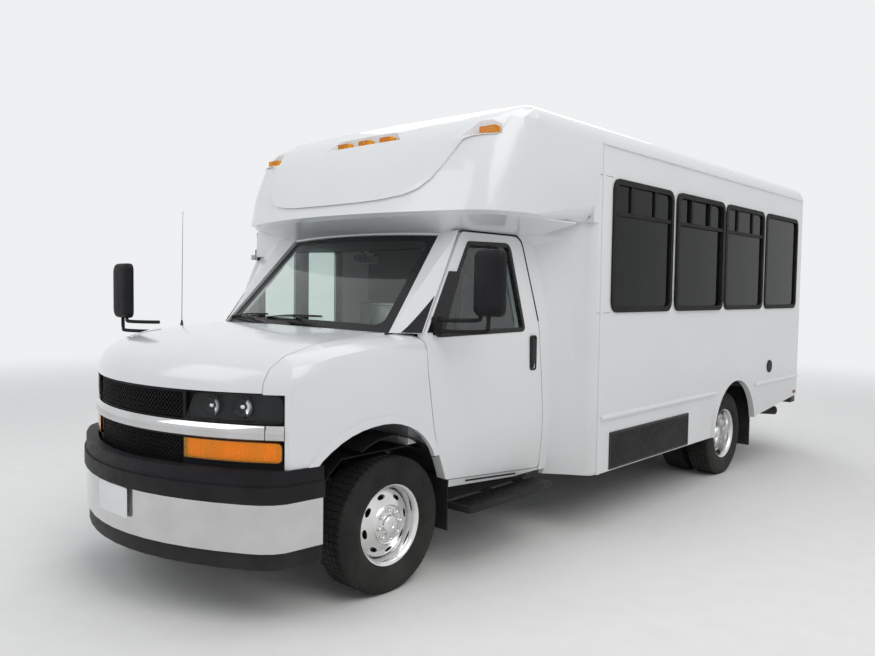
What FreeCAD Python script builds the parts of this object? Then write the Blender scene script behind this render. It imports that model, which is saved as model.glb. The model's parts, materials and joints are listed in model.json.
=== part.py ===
import FreeCAD, Part
import math
import os

os.makedirs("parts", exist_ok=True)
Vec = FreeCAD.Vector

# Driving dimensions, in millimetres. A station is a distance forward of the front axle,
# y runs to the vehicle's left, and z is the height over the ground.
wheelbase = 4039.0
nose_station = 1078.0            # front face of the bumper
tail_station = -5945.0           # back face of the rear bumper
body_half_width = 1219.0
cab_half_width = 990.0
roof_top = 2805.0
clearance = 5.0                  # round doors and lids that open
seat_gap = 0.3                   # between pieces that seat on each other

# Passenger body
seam_station = -1670.0           # where the moulded front cap meets the body
rear_face = -5800.0
rear_wall_thick = 60.0
wall_thick = 35.0
skirt_bottom = 400.0
rear_skirt_low = 468.0           # behind the wheel arch the skirt rises
rear_skirt_high = 571.0
drip_height = 2600.0
roof_edge_radius = 150.0
edge_chords = 5                  # flats round the roof's edge
floor_top = 775.0
floor_thick = 30.0
window_width = 914.0
window_bottom = 1490.0
window_top = 2400.0
window_corner = 75.0
frame_width = 38.0
frame_depth = 19.0
pane_thick = 6.0
transom_height = 2165.0
transom_half = 14.0
window_pitch_start = -2265.0     # centre of the first window
window_pitch = 965.0
arch_radius = 462.0
arch_shift = 35.0                # the arch centre lies behind the axle
arch_height = 391.0
arch_lip = 42.0
arch_sides = 40
rub_rail_height = 777.0
rub_rail_radius = 22.0

# Wheels
tyre_radius = 369.0
tyre_sides = 48
tyre_width = 223.0
tread_half = 92.0
bead_half = 84.0
hand_holes = 8
rim_sides = 30
hub_sides = 12
bead_radius = 206.0
rim_radius = 222.0
hub_height = tyre_radius * math.cos(math.pi / tyre_sides)
front_track_half = 862.0
kingpin_half = 720.0
dual_outer = 1045.0
dual_inner = 787.0

# Nose: hood, grille and lamps are turned about one upright axis
nose_axis = -520.0
nose_radius = 1510.0
nose_step = math.radians(4.0)    # the ring is drawn with one flat per step
hood_half_width = 830.0
panel_thick = 22.0
hood_hinge_station = -90.0
hood_hinge_height = 1358.0

# Driver's door
door_thick = 65.0

# Entry door in the right side
entry_front = -660.0
entry_rear = -1500.0
entry_bottom = 400.0
entry_top = 2050.0
leaf_thick = 32.0

# Rear door
rear_door_half = 430.0
rear_door_bottom = 800.0
rear_door_top = 2280.0
plate_hole_pitch = 177.8         # seven inches between a number plate's holes


def box(x0, x1, y0, y1, z0, z1):
    low = Vec(min(x0, x1), min(y0, y1), min(z0, z1))
    return Part.makeBox(abs(x1 - x0), abs(y1 - y0), abs(z1 - z0), low)


def place(plane, u, v, depth=0.0):
    if plane == "xz":
        return Vec(u, depth, v)
    if plane == "xy":
        return Vec(u, v, depth)
    return Vec(depth, u, v)


def outline(corners, plane, depth=0.0):
    """Closed wire through (u, v, radius) corners; each rounded corner becomes a few short chords."""
    points = []
    for i, (u, v, radius) in enumerate(corners):
        here = Vec(u, v, 0)
        if radius <= 0:
            points.append(here)
            continue
        back = Vec(corners[i - 1][0], corners[i - 1][1], 0) - here
        following = corners[(i + 1) % len(corners)]
        ahead = Vec(following[0], following[1], 0) - here
        back.normalize()
        ahead.normalize()
        half = math.acos(max(-1.0, min(1.0, back.dot(ahead)))) / 2
        middle = (back + ahead).normalize()
        centre = here + middle * (radius / math.sin(half))
        start = here + back * (radius / math.tan(half)) - centre
        swing = math.pi - 2 * half
        if start.cross(here - centre).z < 0:
            swing = -swing
        chords = 2 + int(radius // 60)
        for k in range(chords + 1):
            angle = swing * k / chords
            points.append(centre + Vec(start.x * math.cos(angle) - start.y * math.sin(angle),
                                       start.x * math.sin(angle) + start.y * math.cos(angle), 0))
    points = [place(plane, q.x, q.y, depth) for q in points]
    return Part.makePolygon(points + points[:1])


def slab(corners, plane, low, high):
    """Solid with the given outline, from low to high along the axis across the plane."""
    face = Part.Face(outline(corners, plane, low))
    across = {"xz": Vec(0, high - low, 0), "xy": Vec(0, 0, high - low), "yz": Vec(high - low, 0, 0)}
    return face.extrude(across[plane])


def rectangle(u0, u1, v0, v1, radius=0.0):
    return [(u0, v0, radius), (u1, v0, radius), (u1, v1, radius), (u0, v1, radius)]


def rod(start, finish, radius):
    a, b = Vec(*start), Vec(*finish)
    return Part.makeCylinder(radius, (b - a).Length, a, b - a)


def bar(start, finish, radius, sides=8):
    """Straight bar with flat sides between two points."""
    a, b = Vec(*start), Vec(*finish)
    along = (b - a).normalize()
    across = along.cross(Vec(0, 0, 1) if abs(along.z) < 0.9 else Vec(0, 1, 0)).normalize()
    over = along.cross(across)
    ring = [a + (across * math.cos(t) + over * math.sin(t)) * radius
            for t in [2 * math.pi * (i + 0.5) / sides for i in range(sides)]]
    return Part.Face(Part.makePolygon(ring + ring[:1])).extrude(b - a)


def tube_path(points, radius, sides=8):
    """Bar along straight runs; a ball-like block fills each bend."""
    runs = [bar(points[i], points[i + 1], radius, sides) for i in range(len(points) - 1)]
    for x, y, z in points[1:-1]:
        runs.append(slab(polygon(sides, radius, x, y), "xy", z - radius * 0.9, z + radius * 0.9))
    return fuse(*runs)


def polygon(sides, radius, u=0.0, v=0.0):
    """Corners of a regular polygon that stands on a flat side."""
    step = 2 * math.pi / sides
    return [(u + radius * math.sin(step * (i + 0.5)), v + radius * math.cos(step * (i + 0.5)), 0)
            for i in range(sides)]


flat_limit = 1e-8


def patch(a, b, c, d):
    """Flat face on four corners, or two where the corners do not lie in one plane."""
    across = (b - a).cross(d - a)
    if abs(across.dot(c - a)) < flat_limit * across.Length:
        return [Part.Face(Part.makePolygon([a, b, c, d, a]))]
    return [Part.Face(Part.makePolygon(loop)) for loop in ([a, b, c, a], [a, c, d, a])]


def skin_between(loops):
    """Solid through loops of corners, one after another; the first and last loop are flat ends."""
    faces = []
    for near, far in zip(loops, loops[1:]):
        for k in range(len(near)):
            n = (k + 1) % len(near)
            faces += patch(near[k], near[n], far[n], far[k])
    for loop in (loops[0], loops[-1]):
        faces.append(Part.Face(Part.makePolygon(loop + loop[:1])))
    solid = Part.makeSolid(Part.makeShell(faces))
    if solid.Volume < 0:
        solid.reverse()
    return solid


def points_of(corners, plane, depth):
    """Points of an outline without its closing one."""
    return [v.Point for v in outline(corners, plane, depth).OrderedVertexes]


def fuse(*solids):
    whole = solids[0]
    if len(solids) > 1:
        whole = whole.fuse(list(solids[1:]))
    return whole.removeSplitter()


def mirrored(shape):
    return shape.mirror(Vec(0, 0, 0), Vec(0, 1, 0))


def both_sides(shape):
    return [shape, mirrored(shape)]


def turned(profile, x, z):
    """Solid of revolution about the line across the vehicle at (x, z); profile is (y, r, round)."""
    corners = [(y, r, fillet) for y, r, fillet in profile]
    wire = outline([(u, v + z, f) for u, v, f in corners], "yz", x)
    return Part.Face(wire).revolve(Vec(x, 0, z), Vec(0, 1, 0), 360)


def ring_point(radius, turn):
    return nose_axis + radius * math.cos(turn), radius * math.sin(turn)


def sector(r0, r1, z0, z1, y0, y1):
    """Piece of the nose's ring between two radii, two heights and two distances off the middle."""
    a0, a1 = math.asin(y0 / nose_radius), math.asin(y1 / nose_radius)
    first, last = math.ceil(a0 / nose_step + 0.01), math.floor(a1 / nose_step - 0.01)
    turns = [a0] + [k * nose_step for k in range(first, last + 1)] + [a1]
    plan = [ring_point(r1, t) for t in turns] + [ring_point(r0, t) for t in reversed(turns)]
    return slab([(x, y, 0) for x, y in plan], "xy", z0, z1)


def save(node, *solids):
    """Write a node, moved so that the origin is under the middle of the vehicle."""
    pieces = []
    for shape in solids:
        pieces.extend(shape.Solids)
    whole = pieces[0] if len(pieces) == 1 else Part.makeCompound(pieces)
    whole.translate(Vec(-(nose_station + tail_station) / 2, 0, 0))
    whole.exportStep("parts/" + node + ".step")


# Chassis frame: two channel rails that rise over the rear axle, joined by crossmembers
rail_inner = 375.0
rail_outer = 445.0
rail_height = 180.0
rail_bottom = 430.0
rail_top = rail_bottom + rail_height
kick_bottom = floor_top - floor_thick - rail_height
rail_wall = 8.0
rear_axle_station = -wheelbase


def rail_corners(inset):
    """Side view of a rail, drawn in by the inset; columns are station and height."""
    rise_front, rise_back = rear_axle_station + 800, rear_axle_station + 500
    fall_front, fall_back = rear_axle_station - 500, rear_axle_station - 800
    low = [(860, rail_bottom), (rise_front, rail_bottom), (rise_back, kick_bottom),
           (fall_front, kick_bottom), (fall_back, rail_bottom + 40), (-5740, rail_bottom + 40)]
    lower = [(x, z + inset, 0) for x, z in low]
    upper = [(x, z + rail_height - inset, 0) for x, z in reversed(low)]
    return lower + upper


def chassis_frame():
    rail = slab(rail_corners(0), "xz", rail_inner, rail_outer)
    channel = slab(rail_corners(rail_wall), "xz", rail_inner - 1, rail_outer - rail_wall)
    rails = both_sides(rail.cut(channel))
    members = []
    for station, low, high in [(800, 470, 560), (-90, 395, 440), (-1260, 530, 606), (-1900, 530, 606),
                               (-2900, 530, 606), (-3560, 600, 690), (-4520, 600, 690), (-5680, 540, 640)]:
        members.append(box(station - 30, station + 30, -rail_outer + 4, rail_outer - 4, low, high))
    return fuse(*rails, *members)


save("chassis_frame", chassis_frame())

# Engine and gearbox as plain blocks at their real place and size
engine_length = 1100.0
gearbox_end = -1180.0
engine = box(500 - engine_length, 500, -290, 290, 440 + seat_gap, 930)
gearbox = slab(rectangle(-150, 150, 380, 590, 60), "yz", 500 - engine_length, gearbox_end)
save("engine_block", fuse(engine, gearbox))


def rear_axle():
    inner_disc = dual_inner + bead_half - 20 - seat_gap
    beam = bar((rear_axle_station, -640, hub_height), (rear_axle_station, 640, hub_height), 55)
    hubs = [bar((rear_axle_station, s * 630, hub_height), (rear_axle_station, s * inner_disc, hub_height), 80)
            for s in (-1, 1)]
    casing = skin_between([points_of(polygon(12, radius, 0, hub_height), "yz", rear_axle_station + ahead)
                           for ahead, radius in ((-150, 90), (-60, 165), (60, 165), (150, 90))])
    drums = [slab(polygon(16, 150, rear_axle_station, hub_height), "xz", s * 640, s * 700)
             for s in (-1, 1)]
    shaft = bar((gearbox_end - 1.5, 0, 480), (rear_axle_station + 120, 0, hub_height + 10), 36)
    return fuse(beam, casing, shaft, *drums, *hubs)


save("rear_axle", rear_axle())

# Springs and front arms
spring_inner = 455.0
spring_outer = 525.0
spring_ends = 640.0


def leaf_spring():
    """One bowed pack of leaves, clamped on the axle and hung from the rail at both ends."""
    x = rear_axle_station
    top = hub_height + 75
    shares = [-1 + k / 3.0 for k in range(7)]
    lower = [(x + spring_ends * f, top - 20 + 90 * f * f, 0) for f in shares]
    upper = [(x + spring_ends * f, top + 30 + 70 * f * f, 0) for f in reversed(shares)]
    pack = slab(lower + upper, "xz", spring_inner, spring_outer)
    hangers = []
    for s in (-1, 1):
        end = x + s * (spring_ends - 25)
        hangers.append(box(end - 25, end + 25, rail_outer + seat_gap, spring_outer, top + 60, rail_top + 10))
    return fuse(pack, *hangers)


def front_arm(level, outer_level, reach):
    wide = points_of(rectangle(-130, 130, level - 18, level + 18), "xz", rail_outer + seat_gap)
    narrow = points_of(rectangle(-42, 42, outer_level - 15, outer_level + 15), "xz", reach)
    end = box(-42, 42, reach - 1, kingpin_half + 30, outer_level - 15, outer_level + 15)
    return fuse(skin_between([wide, narrow]), end)


knuckle_low = 262.0
knuckle_high = 510.0


def suspension():
    low_end = bar((0, kingpin_half, knuckle_low - 34), (0, kingpin_half, knuckle_low - seat_gap), 34)
    high_end = bar((0, kingpin_half, knuckle_high + seat_gap), (0, kingpin_half, knuckle_high + 34), 34)
    lower = fuse(front_arm(rail_bottom + 18, knuckle_low - 22, kingpin_half - 56), low_end)
    upper = fuse(front_arm(rail_top - 30, knuckle_high + 22, kingpin_half - 56), high_end)
    damper = bar((0, 560, 375), (0, 482, 640), 26)
    corner = fuse(lower, damper.cut(upper))
    return both_sides(leaf_spring()) + both_sides(corner) + both_sides(upper)


save("suspension", *suspension())


def knuckle():
    upright = slab(rectangle(-38, 38, kingpin_half - 34, kingpin_half + 30), "xy",
                   knuckle_low, knuckle_high)
    spindle = bar((0, kingpin_half, hub_height), (0, front_track_half + 30 - seat_gap, hub_height), 60)
    disc = slab(polygon(16, 145, 0, hub_height), "xz", front_track_half - 88, front_track_half - 62)
    return fuse(upright, spindle, disc)


save("knuckle_left", knuckle())
save("knuckle_right", mirrored(knuckle()))


# Wheels and tyres. A profile's columns are distance across and radius.

def faceted(profile, sides):
    """Wheel form with flat sides, from a closed profile of (distance across, radius) corners."""
    rings = []
    for y, radius in profile:
        rings.append([Vec(u, y, v) for u, v, flat in polygon(sides, radius, 0, hub_height)])
    return skin_between(rings)


def tyre(centre, rounded):
    """Tyre round its rim; the inner ones of the twin wheels are drawn without a bulge."""
    half = tyre_width / 2
    bulge = bead_radius + 80
    left = [(centre - bead_half, bead_radius), (centre - half, bulge)]
    right = [(centre + half, bulge), (centre + bead_half, bead_radius)]
    if not rounded:
        left, right = left[:1], right[1:]
    tread = [(centre - tread_half, tyre_radius), (centre + tread_half, tyre_radius)]
    body = faceted(left + tread + right, tyre_sides)
    hole = faceted([(centre - half, bead_radius), (centre + half, bead_radius)], rim_sides)
    return body.cut(hole)


def hollow_rim(centre, mouth, disc_front, disc_back):
    """Rim with its flange at the outer lip, open on both sides of the disc."""
    inner = bead_radius - seat_gap
    body = faceted([(centre - bead_half, inner), (centre + bead_half + seat_gap, inner),
                    (centre + bead_half + 9, rim_radius)], rim_sides)
    front = faceted([(disc_front, inner - 26), (centre + bead_half + 9, mouth)], rim_sides)
    back = faceted([(centre - bead_half, inner - 12), (disc_back, inner - 26)], rim_sides)
    return body.cut(front).cut(back)


def ring_of(count, piece, phase=0.0):
    """Copies of a piece round the hub line; the piece is drawn at the top of the circle."""
    copies = []
    for i in range(count):
        copy = piece.copy()
        copy.rotate(Vec(0, 0, hub_height), Vec(0, 1, 0), phase + i * 360.0 / count)
        copies.append(copy)
    return copies


def front_wheel():
    """Domed disc with hand holes and a hub cover, as seen on the steered wheels."""
    c = front_track_half
    rim = hollow_rim(c, 200, c + 25, c - 60)
    dome = faceted([(c + 24, 176), (c + 50, 130), (c + 60, 80)], rim_sides)
    hub = faceted([(c + 59, 66), (c + 98, 58), (c + 106, 40)], hub_sides)
    hollow = faceted([(c - 61, 150), (c + 5, 150), (c + 30, 118)], hub_sides)
    hole = slab([(-22, hub_height + 122, 0), (22, hub_height + 122, 0), (28, hub_height + 158, 0),
                 (-28, hub_height + 158, 0)], "xz", c, c + 90)
    whole = fuse(rim, dome, hub).cut(hollow)
    return whole.cut(Part.makeCompound(ring_of(hand_holes, hole)))


def rear_outer_wheel():
    """Deep dished disc round the axle end."""
    c = dual_outer
    rim = hollow_rim(c, 200, c - 62, c - bead_half + 1)
    hub = faceted([(c - 63, 72), (c + 20, 64), (c + 50, 46)], hub_sides)
    hole = slab([(-20, hub_height + 118, 0), (20, hub_height + 118, 0), (26, hub_height + 152, 0),
                 (-26, hub_height + 152, 0)], "xz", c - 130, c + 40)
    return fuse(rim, hub).cut(Part.makeCompound(ring_of(hand_holes, hole)))


def rear_inner_wheel():
    """Plain rim whose disc faces the outer wheel."""
    c = dual_inner
    inner = bead_radius - seat_gap
    body = faceted([(c - bead_half, inner), (c + bead_half, inner)], rim_sides)
    hole = faceted([(c - bead_half, inner - 14), (c + bead_half - 20, inner - 40)], rim_sides)
    spacer_end = dual_outer - bead_half + 1 - seat_gap
    spacer = slab(polygon(12, 90, 0, hub_height), "xz", c + bead_half, spacer_end)
    return fuse(body.cut(hole), spacer)


def at_rear(shape):
    moved = shape.copy()
    moved.translate(Vec(rear_axle_station, 0, 0))
    return moved


front_rim, front_rubber = front_wheel(), tyre(front_track_half, True)
rear_rims = [at_rear(rear_outer_wheel()), at_rear(rear_inner_wheel())]
rear_rubber = [at_rear(tyre(dual_outer, True)), at_rear(tyre(dual_inner, False))]
for side, turn in [("left", lambda s: s), ("right", mirrored)]:
    save("front_rim_" + side, turn(front_rim))
    save("front_tyre_" + side, turn(front_rubber))
    save("rear_rims_" + side, *[turn(s) for s in rear_rims])
    save("rear_tyres_" + side, *[turn(s) for s in rear_rubber])

# Exhaust and fuel tank under the floor
exhaust = [slab(rectangle(-700, -480, 415, 600, 60), "yz", -2750, -2100),
           bar((-1300, -590, 500), (-2120, -590, 505), 38),
           bar((-2740, -590, 505), (-3480, -590, 500), 38),
           box(-2440, -2400, -rail_outer - seat_gap, -500, 500, 560)]
tail_pipe = tube_path([(-4660, 660, 590), (-4800, 700, 520), (-4950, 860, 470), (-5330, 1150, 440)], 44)
hanger = box(-4925, -4885, rail_outer + seat_gap, 830, 478, 505)
save("exhaust", fuse(*exhaust), fuse(tail_pipe, hanger))
tank = slab([(-365, 470, 0), (-320, 430, 0), (320, 430, 0), (365, 470, 0), (365, 640, 0), (-365, 640, 0)],
            "yz", -5560, -4880)
straps = [box(x - 20, x + 20, -rail_inner, rail_inner, 640, 655) for x in (-5400, -5050)]
save("fuel_tank", fuse(tank, *straps))

# Body shell. Its section across the vehicle is the same from the seam to the rear wall.


def roof_points(inset, bottom, station):
    """Section across the body at a station, drawn in by the inset; columns of rise are y and z."""
    radius = roof_edge_radius - inset
    top_y = body_half_width - roof_edge_radius
    crown = roof_top - inset - drip_height - radius
    rise = [(top_y + radius * math.cos(t), drip_height + radius * math.sin(t))
            for t in [math.pi / 2 * k / edge_chords for k in range(edge_chords + 1)]]
    rise += [(top_y * f, drip_height + radius + crown * (1 - f * f)) for f in (0.75, 0.5, 0.25)]
    if bottom < drip_height:
        rise.insert(0, (body_half_width - inset, bottom))
    middle = [(0, roof_top - inset)]
    return [Vec(station, y, z) for y, z in rise + middle + [(-y, z) for y, z in reversed(rise)]]


def body_prism(inset, bottom, x0, x1):
    points = roof_points(inset, bottom, x0)
    return Part.Face(Part.makePolygon(points + points[:1])).extrude(Vec(x1 - x0, 0, 0))


wall_back = rear_face + rear_wall_thick


def body_roof():
    shell = body_prism(0, drip_height, wall_back, seam_station).cut(
        body_prism(wall_thick, drip_height - 50, wall_back - 1, seam_station + 1))
    gutter = slab([(body_half_width, drip_height, 0), (body_half_width + 12, drip_height + 4, 0),
                   (body_half_width + 12, drip_height + 16, 0), (body_half_width, drip_height + 20, 0)],
                  "yz", wall_back, seam_station)
    return fuse(shell.cut(box(wall_back - 1, seam_station + 1, 1100, 1300, 0, drip_height)),
                *both_sides(gutter.cut(body_prism(0, drip_height, wall_back - 1, seam_station + 1))))


save("body_roof", body_roof())

arch_station = rear_axle_station - arch_shift
window_centres = [window_pitch_start - i * window_pitch for i in range(4)]


def window_outline(centre, grow):
    half = window_width / 2 + grow
    return rectangle(centre - half, centre + half, window_bottom - grow, window_top + grow,
                     window_corner + grow)


def half_round(x0, x1):
    """Rub rail: half of an eight-sided bar on the wall's face."""
    low = body_half_width
    shares = [(0, -1), (0.7, -0.7), (1, 0), (0.7, 0.7), (0, 1)]
    return slab([(low + rub_rail_radius * a, rub_rail_height + rub_rail_radius * b, 0) for a, b in shares],
                "yz", x0, x1)


def body_side(windows):
    """Left wall with its windows and wheel arch; the right one is its mirror image."""
    y0, y1 = body_half_width - wall_thick, body_half_width
    arch_foot = math.sqrt(arch_radius ** 2 - (skirt_bottom - arch_height) ** 2)
    wall = slab([(seam_station, skirt_bottom, 0), (arch_station + arch_foot, skirt_bottom, 0),
                 (arch_station - arch_radius, rear_skirt_low, 0), (wall_back, rear_skirt_high, 0),
                 (wall_back, drip_height, 0), (seam_station, drip_height, 0)], "xz", y0, y1)
    lip = slab(polygon(arch_sides, arch_radius + arch_lip, arch_station, arch_height), "xz", y1, y1 + 14)
    lip = lip.cut(box(arch_station - 700, arch_station, y0, y1 + 40, -200, rear_skirt_low))
    lip = lip.cut(box(arch_station, arch_station + 700, y0, y1 + 40, -200, skirt_bottom))
    rails = [half_round(arch_station + arch_radius, seam_station - 30),
             half_round(wall_back, arch_station - arch_radius)]
    batten = box(seam_station - 34, seam_station, y1, y1 + 6, skirt_bottom, drip_height - 1)
    whole = fuse(wall, lip, *rails, batten)
    whole = whole.cut(slab(polygon(arch_sides, arch_radius, arch_station, arch_height), "xz",
                           y0 - 1, y1 + 50))
    for centre in windows:
        whole = whole.cut(slab(window_outline(centre, seat_gap), "xz", y0 - 1, y1 + 1))
    return whole


save("body_side_left", body_side(window_centres))
save("body_side_right", mirrored(body_side(window_centres)))


def window_frame(centre, barred, proud):
    y0, y1 = body_half_width - frame_depth, body_half_width + proud
    ring = slab(window_outline(centre, 0), "xz", y0, y1).cut(
        slab(window_outline(centre, -frame_width), "xz", y0 - 1, y1 + 1))
    if not barred:
        return ring
    left, right = centre - window_width / 2 + 20, centre + window_width / 2 - 20
    pieces = [box(left, right, y0, y1 - 6, transom_height - transom_half, transom_height + transom_half)]
    for share, half in [(0.32, 12), (0.72, 18)]:
        x = left + share * (right - left)
        pieces.append(box(x - half, x + half, y0, y1 - 6, transom_height, window_top - 20))
    return fuse(ring, *pieces)


def window_pane(centre):
    y1 = body_half_width - frame_depth - seat_gap
    half = window_width / 2 - frame_width + 12
    return box(centre - half, centre + half, y1 - pane_thick, y1, window_bottom + frame_width - 12,
               window_top - frame_width + 12)


frames, panes = [], []
for centre, barred, proud in zip(window_centres, [True, True, True, False], [12, 20, 12, 12]):
    frames += both_sides(window_frame(centre, barred, proud))
    panes += both_sides(window_pane(centre))
rear_window_corners = [(590, 1560, 55), (1080, 1560, 55), (1080, 2230, 55), (590, 2230, 55)]


def grown(corners, grow):
    middle_u = sum(c[0] for c in corners) / len(corners)
    middle_v = sum(c[1] for c in corners) / len(corners)
    return [(u + (grow if u > middle_u else -grow), v + (grow if v > middle_v else -grow), r + grow)
            for u, v, r in corners]


rear_ring = slab(rear_window_corners, "yz", rear_face - 10, rear_face + 20).cut(
    slab(grown(rear_window_corners, -32), "yz", rear_face - 11, rear_face + 21))
rear_pane = slab(grown(rear_window_corners, -22), "yz", rear_face + 20 + seat_gap, rear_face + 26)
save("window_frames", *frames, *both_sides(rear_ring))
save("window_glass", *panes, *both_sides(rear_pane))


# Hinges are stacked eyes: the fixed one below its level, the swinging one above it
hinge_radius = 6.0
hinge_height = 40.0
rear_hinge = (rear_face - 18, -rear_door_half - 7)
rear_hinge_levels = (950, 1350, 2190)


def rear_wall():
    """Moulded rear panel with rounded edges, the door opening and two windows."""
    levels = [(25, rear_face), (0, rear_face + 28), (0, wall_back)]
    wall = skin_between([roof_points(inset, rear_skirt_high, station) for inset, station in levels])
    opening = rectangle(-rear_door_half - clearance, rear_door_half + clearance,
                        rear_door_bottom - clearance, rear_door_top + clearance, 30)
    wall = wall.cut(slab(opening, "yz", rear_face - 1, wall_back + 1))
    for hole in both_sides(slab(grown(rear_window_corners, seat_gap), "yz",
                                rear_face - 1, wall_back + 1)):
        wall = wall.cut(hole)
    x, y = rear_hinge
    eyes = []
    for level in rear_hinge_levels:
        eyes.append(slab(polygon(8, hinge_radius, x, y), "xy", level - hinge_height, level))
        eyes.append(box(x - 3, rear_face, y - 50, y - 2, level - hinge_height, level))
    return fuse(wall, *eyes)


save("rear_wall", rear_wall())

rear_light = rectangle(-310, 310, 1500, 2150, 66)


def rear_door():
    x0, x1 = rear_face - 6, rear_face + 38
    door = slab(rectangle(-rear_door_half, rear_door_half, rear_door_bottom, rear_door_top, 25),
                "yz", x0, x1)
    door = door.cut(slab(rear_light, "yz", x0 - 1, x1 + 1))
    handle = slab(rectangle(330, 352, 1150, 1330, 8), "yz", x0 - 30, x0)
    hinge_x, hinge_y = rear_hinge
    eyes = []
    for level in rear_hinge_levels:
        low = level + seat_gap
        eyes.append(slab(polygon(8, hinge_radius, hinge_x, hinge_y), "xy", low, low + hinge_height))
        eyes.append(box(hinge_x - 3, x0, hinge_y + 2, hinge_y + 60, low, low + hinge_height))
    return fuse(door, handle, *eyes)


save("rear_door", rear_door())
door_ring = slab(grown(rear_light, -seat_gap), "yz", rear_face - 14, rear_face + 20).cut(
    slab(grown(rear_light, -30), "yz", rear_face - 15, rear_face + 21))
door_pane = slab(grown(rear_light, -20), "yz", rear_face + 20 + seat_gap, rear_face + 27)
save("rear_door_frame", door_ring)
save("rear_door_glass", door_pane)

# Floor on cross bearers, with wheel houses and the entry steps
well_inner = 600.0
well_top = 875.0
well_front = arch_station + arch_radius + 12
well_rear = arch_station - arch_radius - 12
step_front = entry_front + 20
step_rear = entry_rear - 20
inner_wall = body_half_width - wall_thick
cab_floor_thick = 28.0
cab_floor_top = rail_top + seat_gap + cab_floor_thick


def body_floor():
    deck = box(wall_back, seam_station, -inner_wall, inner_wall, floor_top - floor_thick, floor_top)
    deck = deck.cut(box(well_rear, well_front, well_inner, inner_wall + 1, 700, 800))
    deck = deck.cut(box(well_rear, well_front, -inner_wall - 1, -well_inner, 700, 800))
    house = box(well_rear, well_front, well_inner, inner_wall, floor_top - floor_thick, well_top)
    house = house.cut(box(well_rear + 6, well_front - 6, well_inner + 6, inner_wall + 1,
                          floor_top - floor_thick - 1, well_top - 6))
    bearers = []
    for station in (-1760, -2300, -3150, -5100, -5650):
        low = rail_top if station > rear_axle_station else rail_bottom + 40 + rail_height
        bearers.append(box(station - 25, station + 25, -1100, 1100, low, floor_top - floor_thick))
    return fuse(deck, *both_sides(house), *bearers)


def entry_steps():
    """Two treads and their risers inside the entry door, closed at both ends."""
    treads = [box(step_rear, step_front, -1180, -900, 330, 350),
              box(step_rear, step_front, -920, -640, 500, 520),
              box(step_rear, step_front, -920, -900, 330, 520),
              box(step_rear, step_front, -660, -640, 500, cab_floor_top - 1),
              box(step_rear - 15, step_rear, -1180, -640, 330, floor_top),
              box(step_front, step_front + 15, -1180, -640, 330, floor_top)]
    return fuse(*treads)


save("body_floor", body_floor(), entry_steps())

# Cab. Side sections are shared by fenders, door and pillars: columns are y and z.
belt = 1385.0
side_outer = [(952, 440), (975, 620), (cab_half_width, 800), (cab_half_width + 2, 1120), (985, belt),
              (878, 1990)]


def side_slab(inset, thick, x0, x1):
    """Side skin of the cab between two stations, from the inset inwards by the thickness."""
    outer = [(y - inset, z, 0) for y, z in side_outer]
    inner = [(y - inset - thick, z, 0) for y, z in reversed(side_outer)]
    return slab(outer + inner, "yz", x0, x1)


# Outline of the door in side view; columns are station, height and rounding
door_corners = [(-430, 540, 20), (-1373, 460, 25), (-1362, 800, 0), (-1325, 1150, 0), (-1304, 1433, 0),
                (-1270, 1683, 0), (-1226, 1978, 80), (-640, 1978, 40), (-226, belt, 12), (-248, 1171, 0),
                (-276, 999, 0), (-302, 850, 0), (-342, 720, 0)]
door_light = [(-1134, 1392, 22), (-1086, 1912, 45), (-692, 1904, 25), (-322, 1384, 10)]


def driver_door():
    skin = side_slab(0, door_thick, -1500, -200)
    panel = skin.common(slab(door_corners, "xz", 700, 1100))
    panel = panel.cut(slab(door_light, "xz", 700, 1100))
    handle = slab(rectangle(-1252, -1216, 1130, 1336, 17), "xz", cab_half_width - 6,
                  cab_half_width + 16)
    return panel.fuse(handle.cut(side_slab(0, door_thick, -1500, -200))).removeSplitter()


save("driver_door", driver_door())
door_glass = side_slab(28, pane_thick, -1400, -300).common(slab(door_light, "xz", 700, 1100))
save("driver_door_glass", door_glass)

# Mirrors on double tube arms. The right one stands further forward, on the fender.
mirror_half_width = 100.0
mirror_centre_y = 1250.0
mirror_bottom = 1485.0
mirror_height = 370.0


def mirror_head(station, bottom):
    """Housing with a smaller, bowed front."""
    levels = [(-33, 0), (12, 0), (33, 16)]
    return skin_between([points_of(rectangle(mirror_centre_y - mirror_half_width + inset,
                                             mirror_centre_y + mirror_half_width - inset,
                                             bottom + inset, bottom + mirror_height - inset, 30),
                                   "yz", station + ahead) for ahead, inset in levels])


def mirror(station, bottom, base_station, base_y, base_z):
    post_y = mirror_centre_y - 50
    mast = [(base_station, base_y, base_z), (station, mirror_centre_y, base_z - 5),
            (station, mirror_centre_y, bottom + 20)]
    brace = [(base_station, base_y, base_z + 60), (station, post_y, base_z + 55),
             (station, post_y, bottom + 20)]
    return fuse(mirror_head(station, bottom), tube_path(mast, 12), tube_path(brace, 10))


left_mirror = mirror(-440, mirror_bottom, -300, 980, 1405)
left_base = box(-325, -280, cab_half_width - 4, cab_half_width + 30, 1375, 1480)
door_skin = side_slab(0, door_thick, -1500, -200)
save("mirror_left", fuse(left_mirror, left_base).cut(door_skin))

# Right mirror on the fender beside the hood
right_mirror_station = 400.0
right_mast = mirror(right_mirror_station, mirror_bottom - 75, 300, 930, 1330)

# Hood: a skin turned about the nose's upright axis, cut to its plan shape.
# The profile's columns are radius and height.
hood_curve = [(nose_radius, 1130), (nose_radius - 5, 1180), (1475, 1245), (1400, 1303), (1240, 1355),
              (1000, 1388), (600, 1412)]
hood_rear_middle = 95.0
hood_rear_side = -60.0


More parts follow.
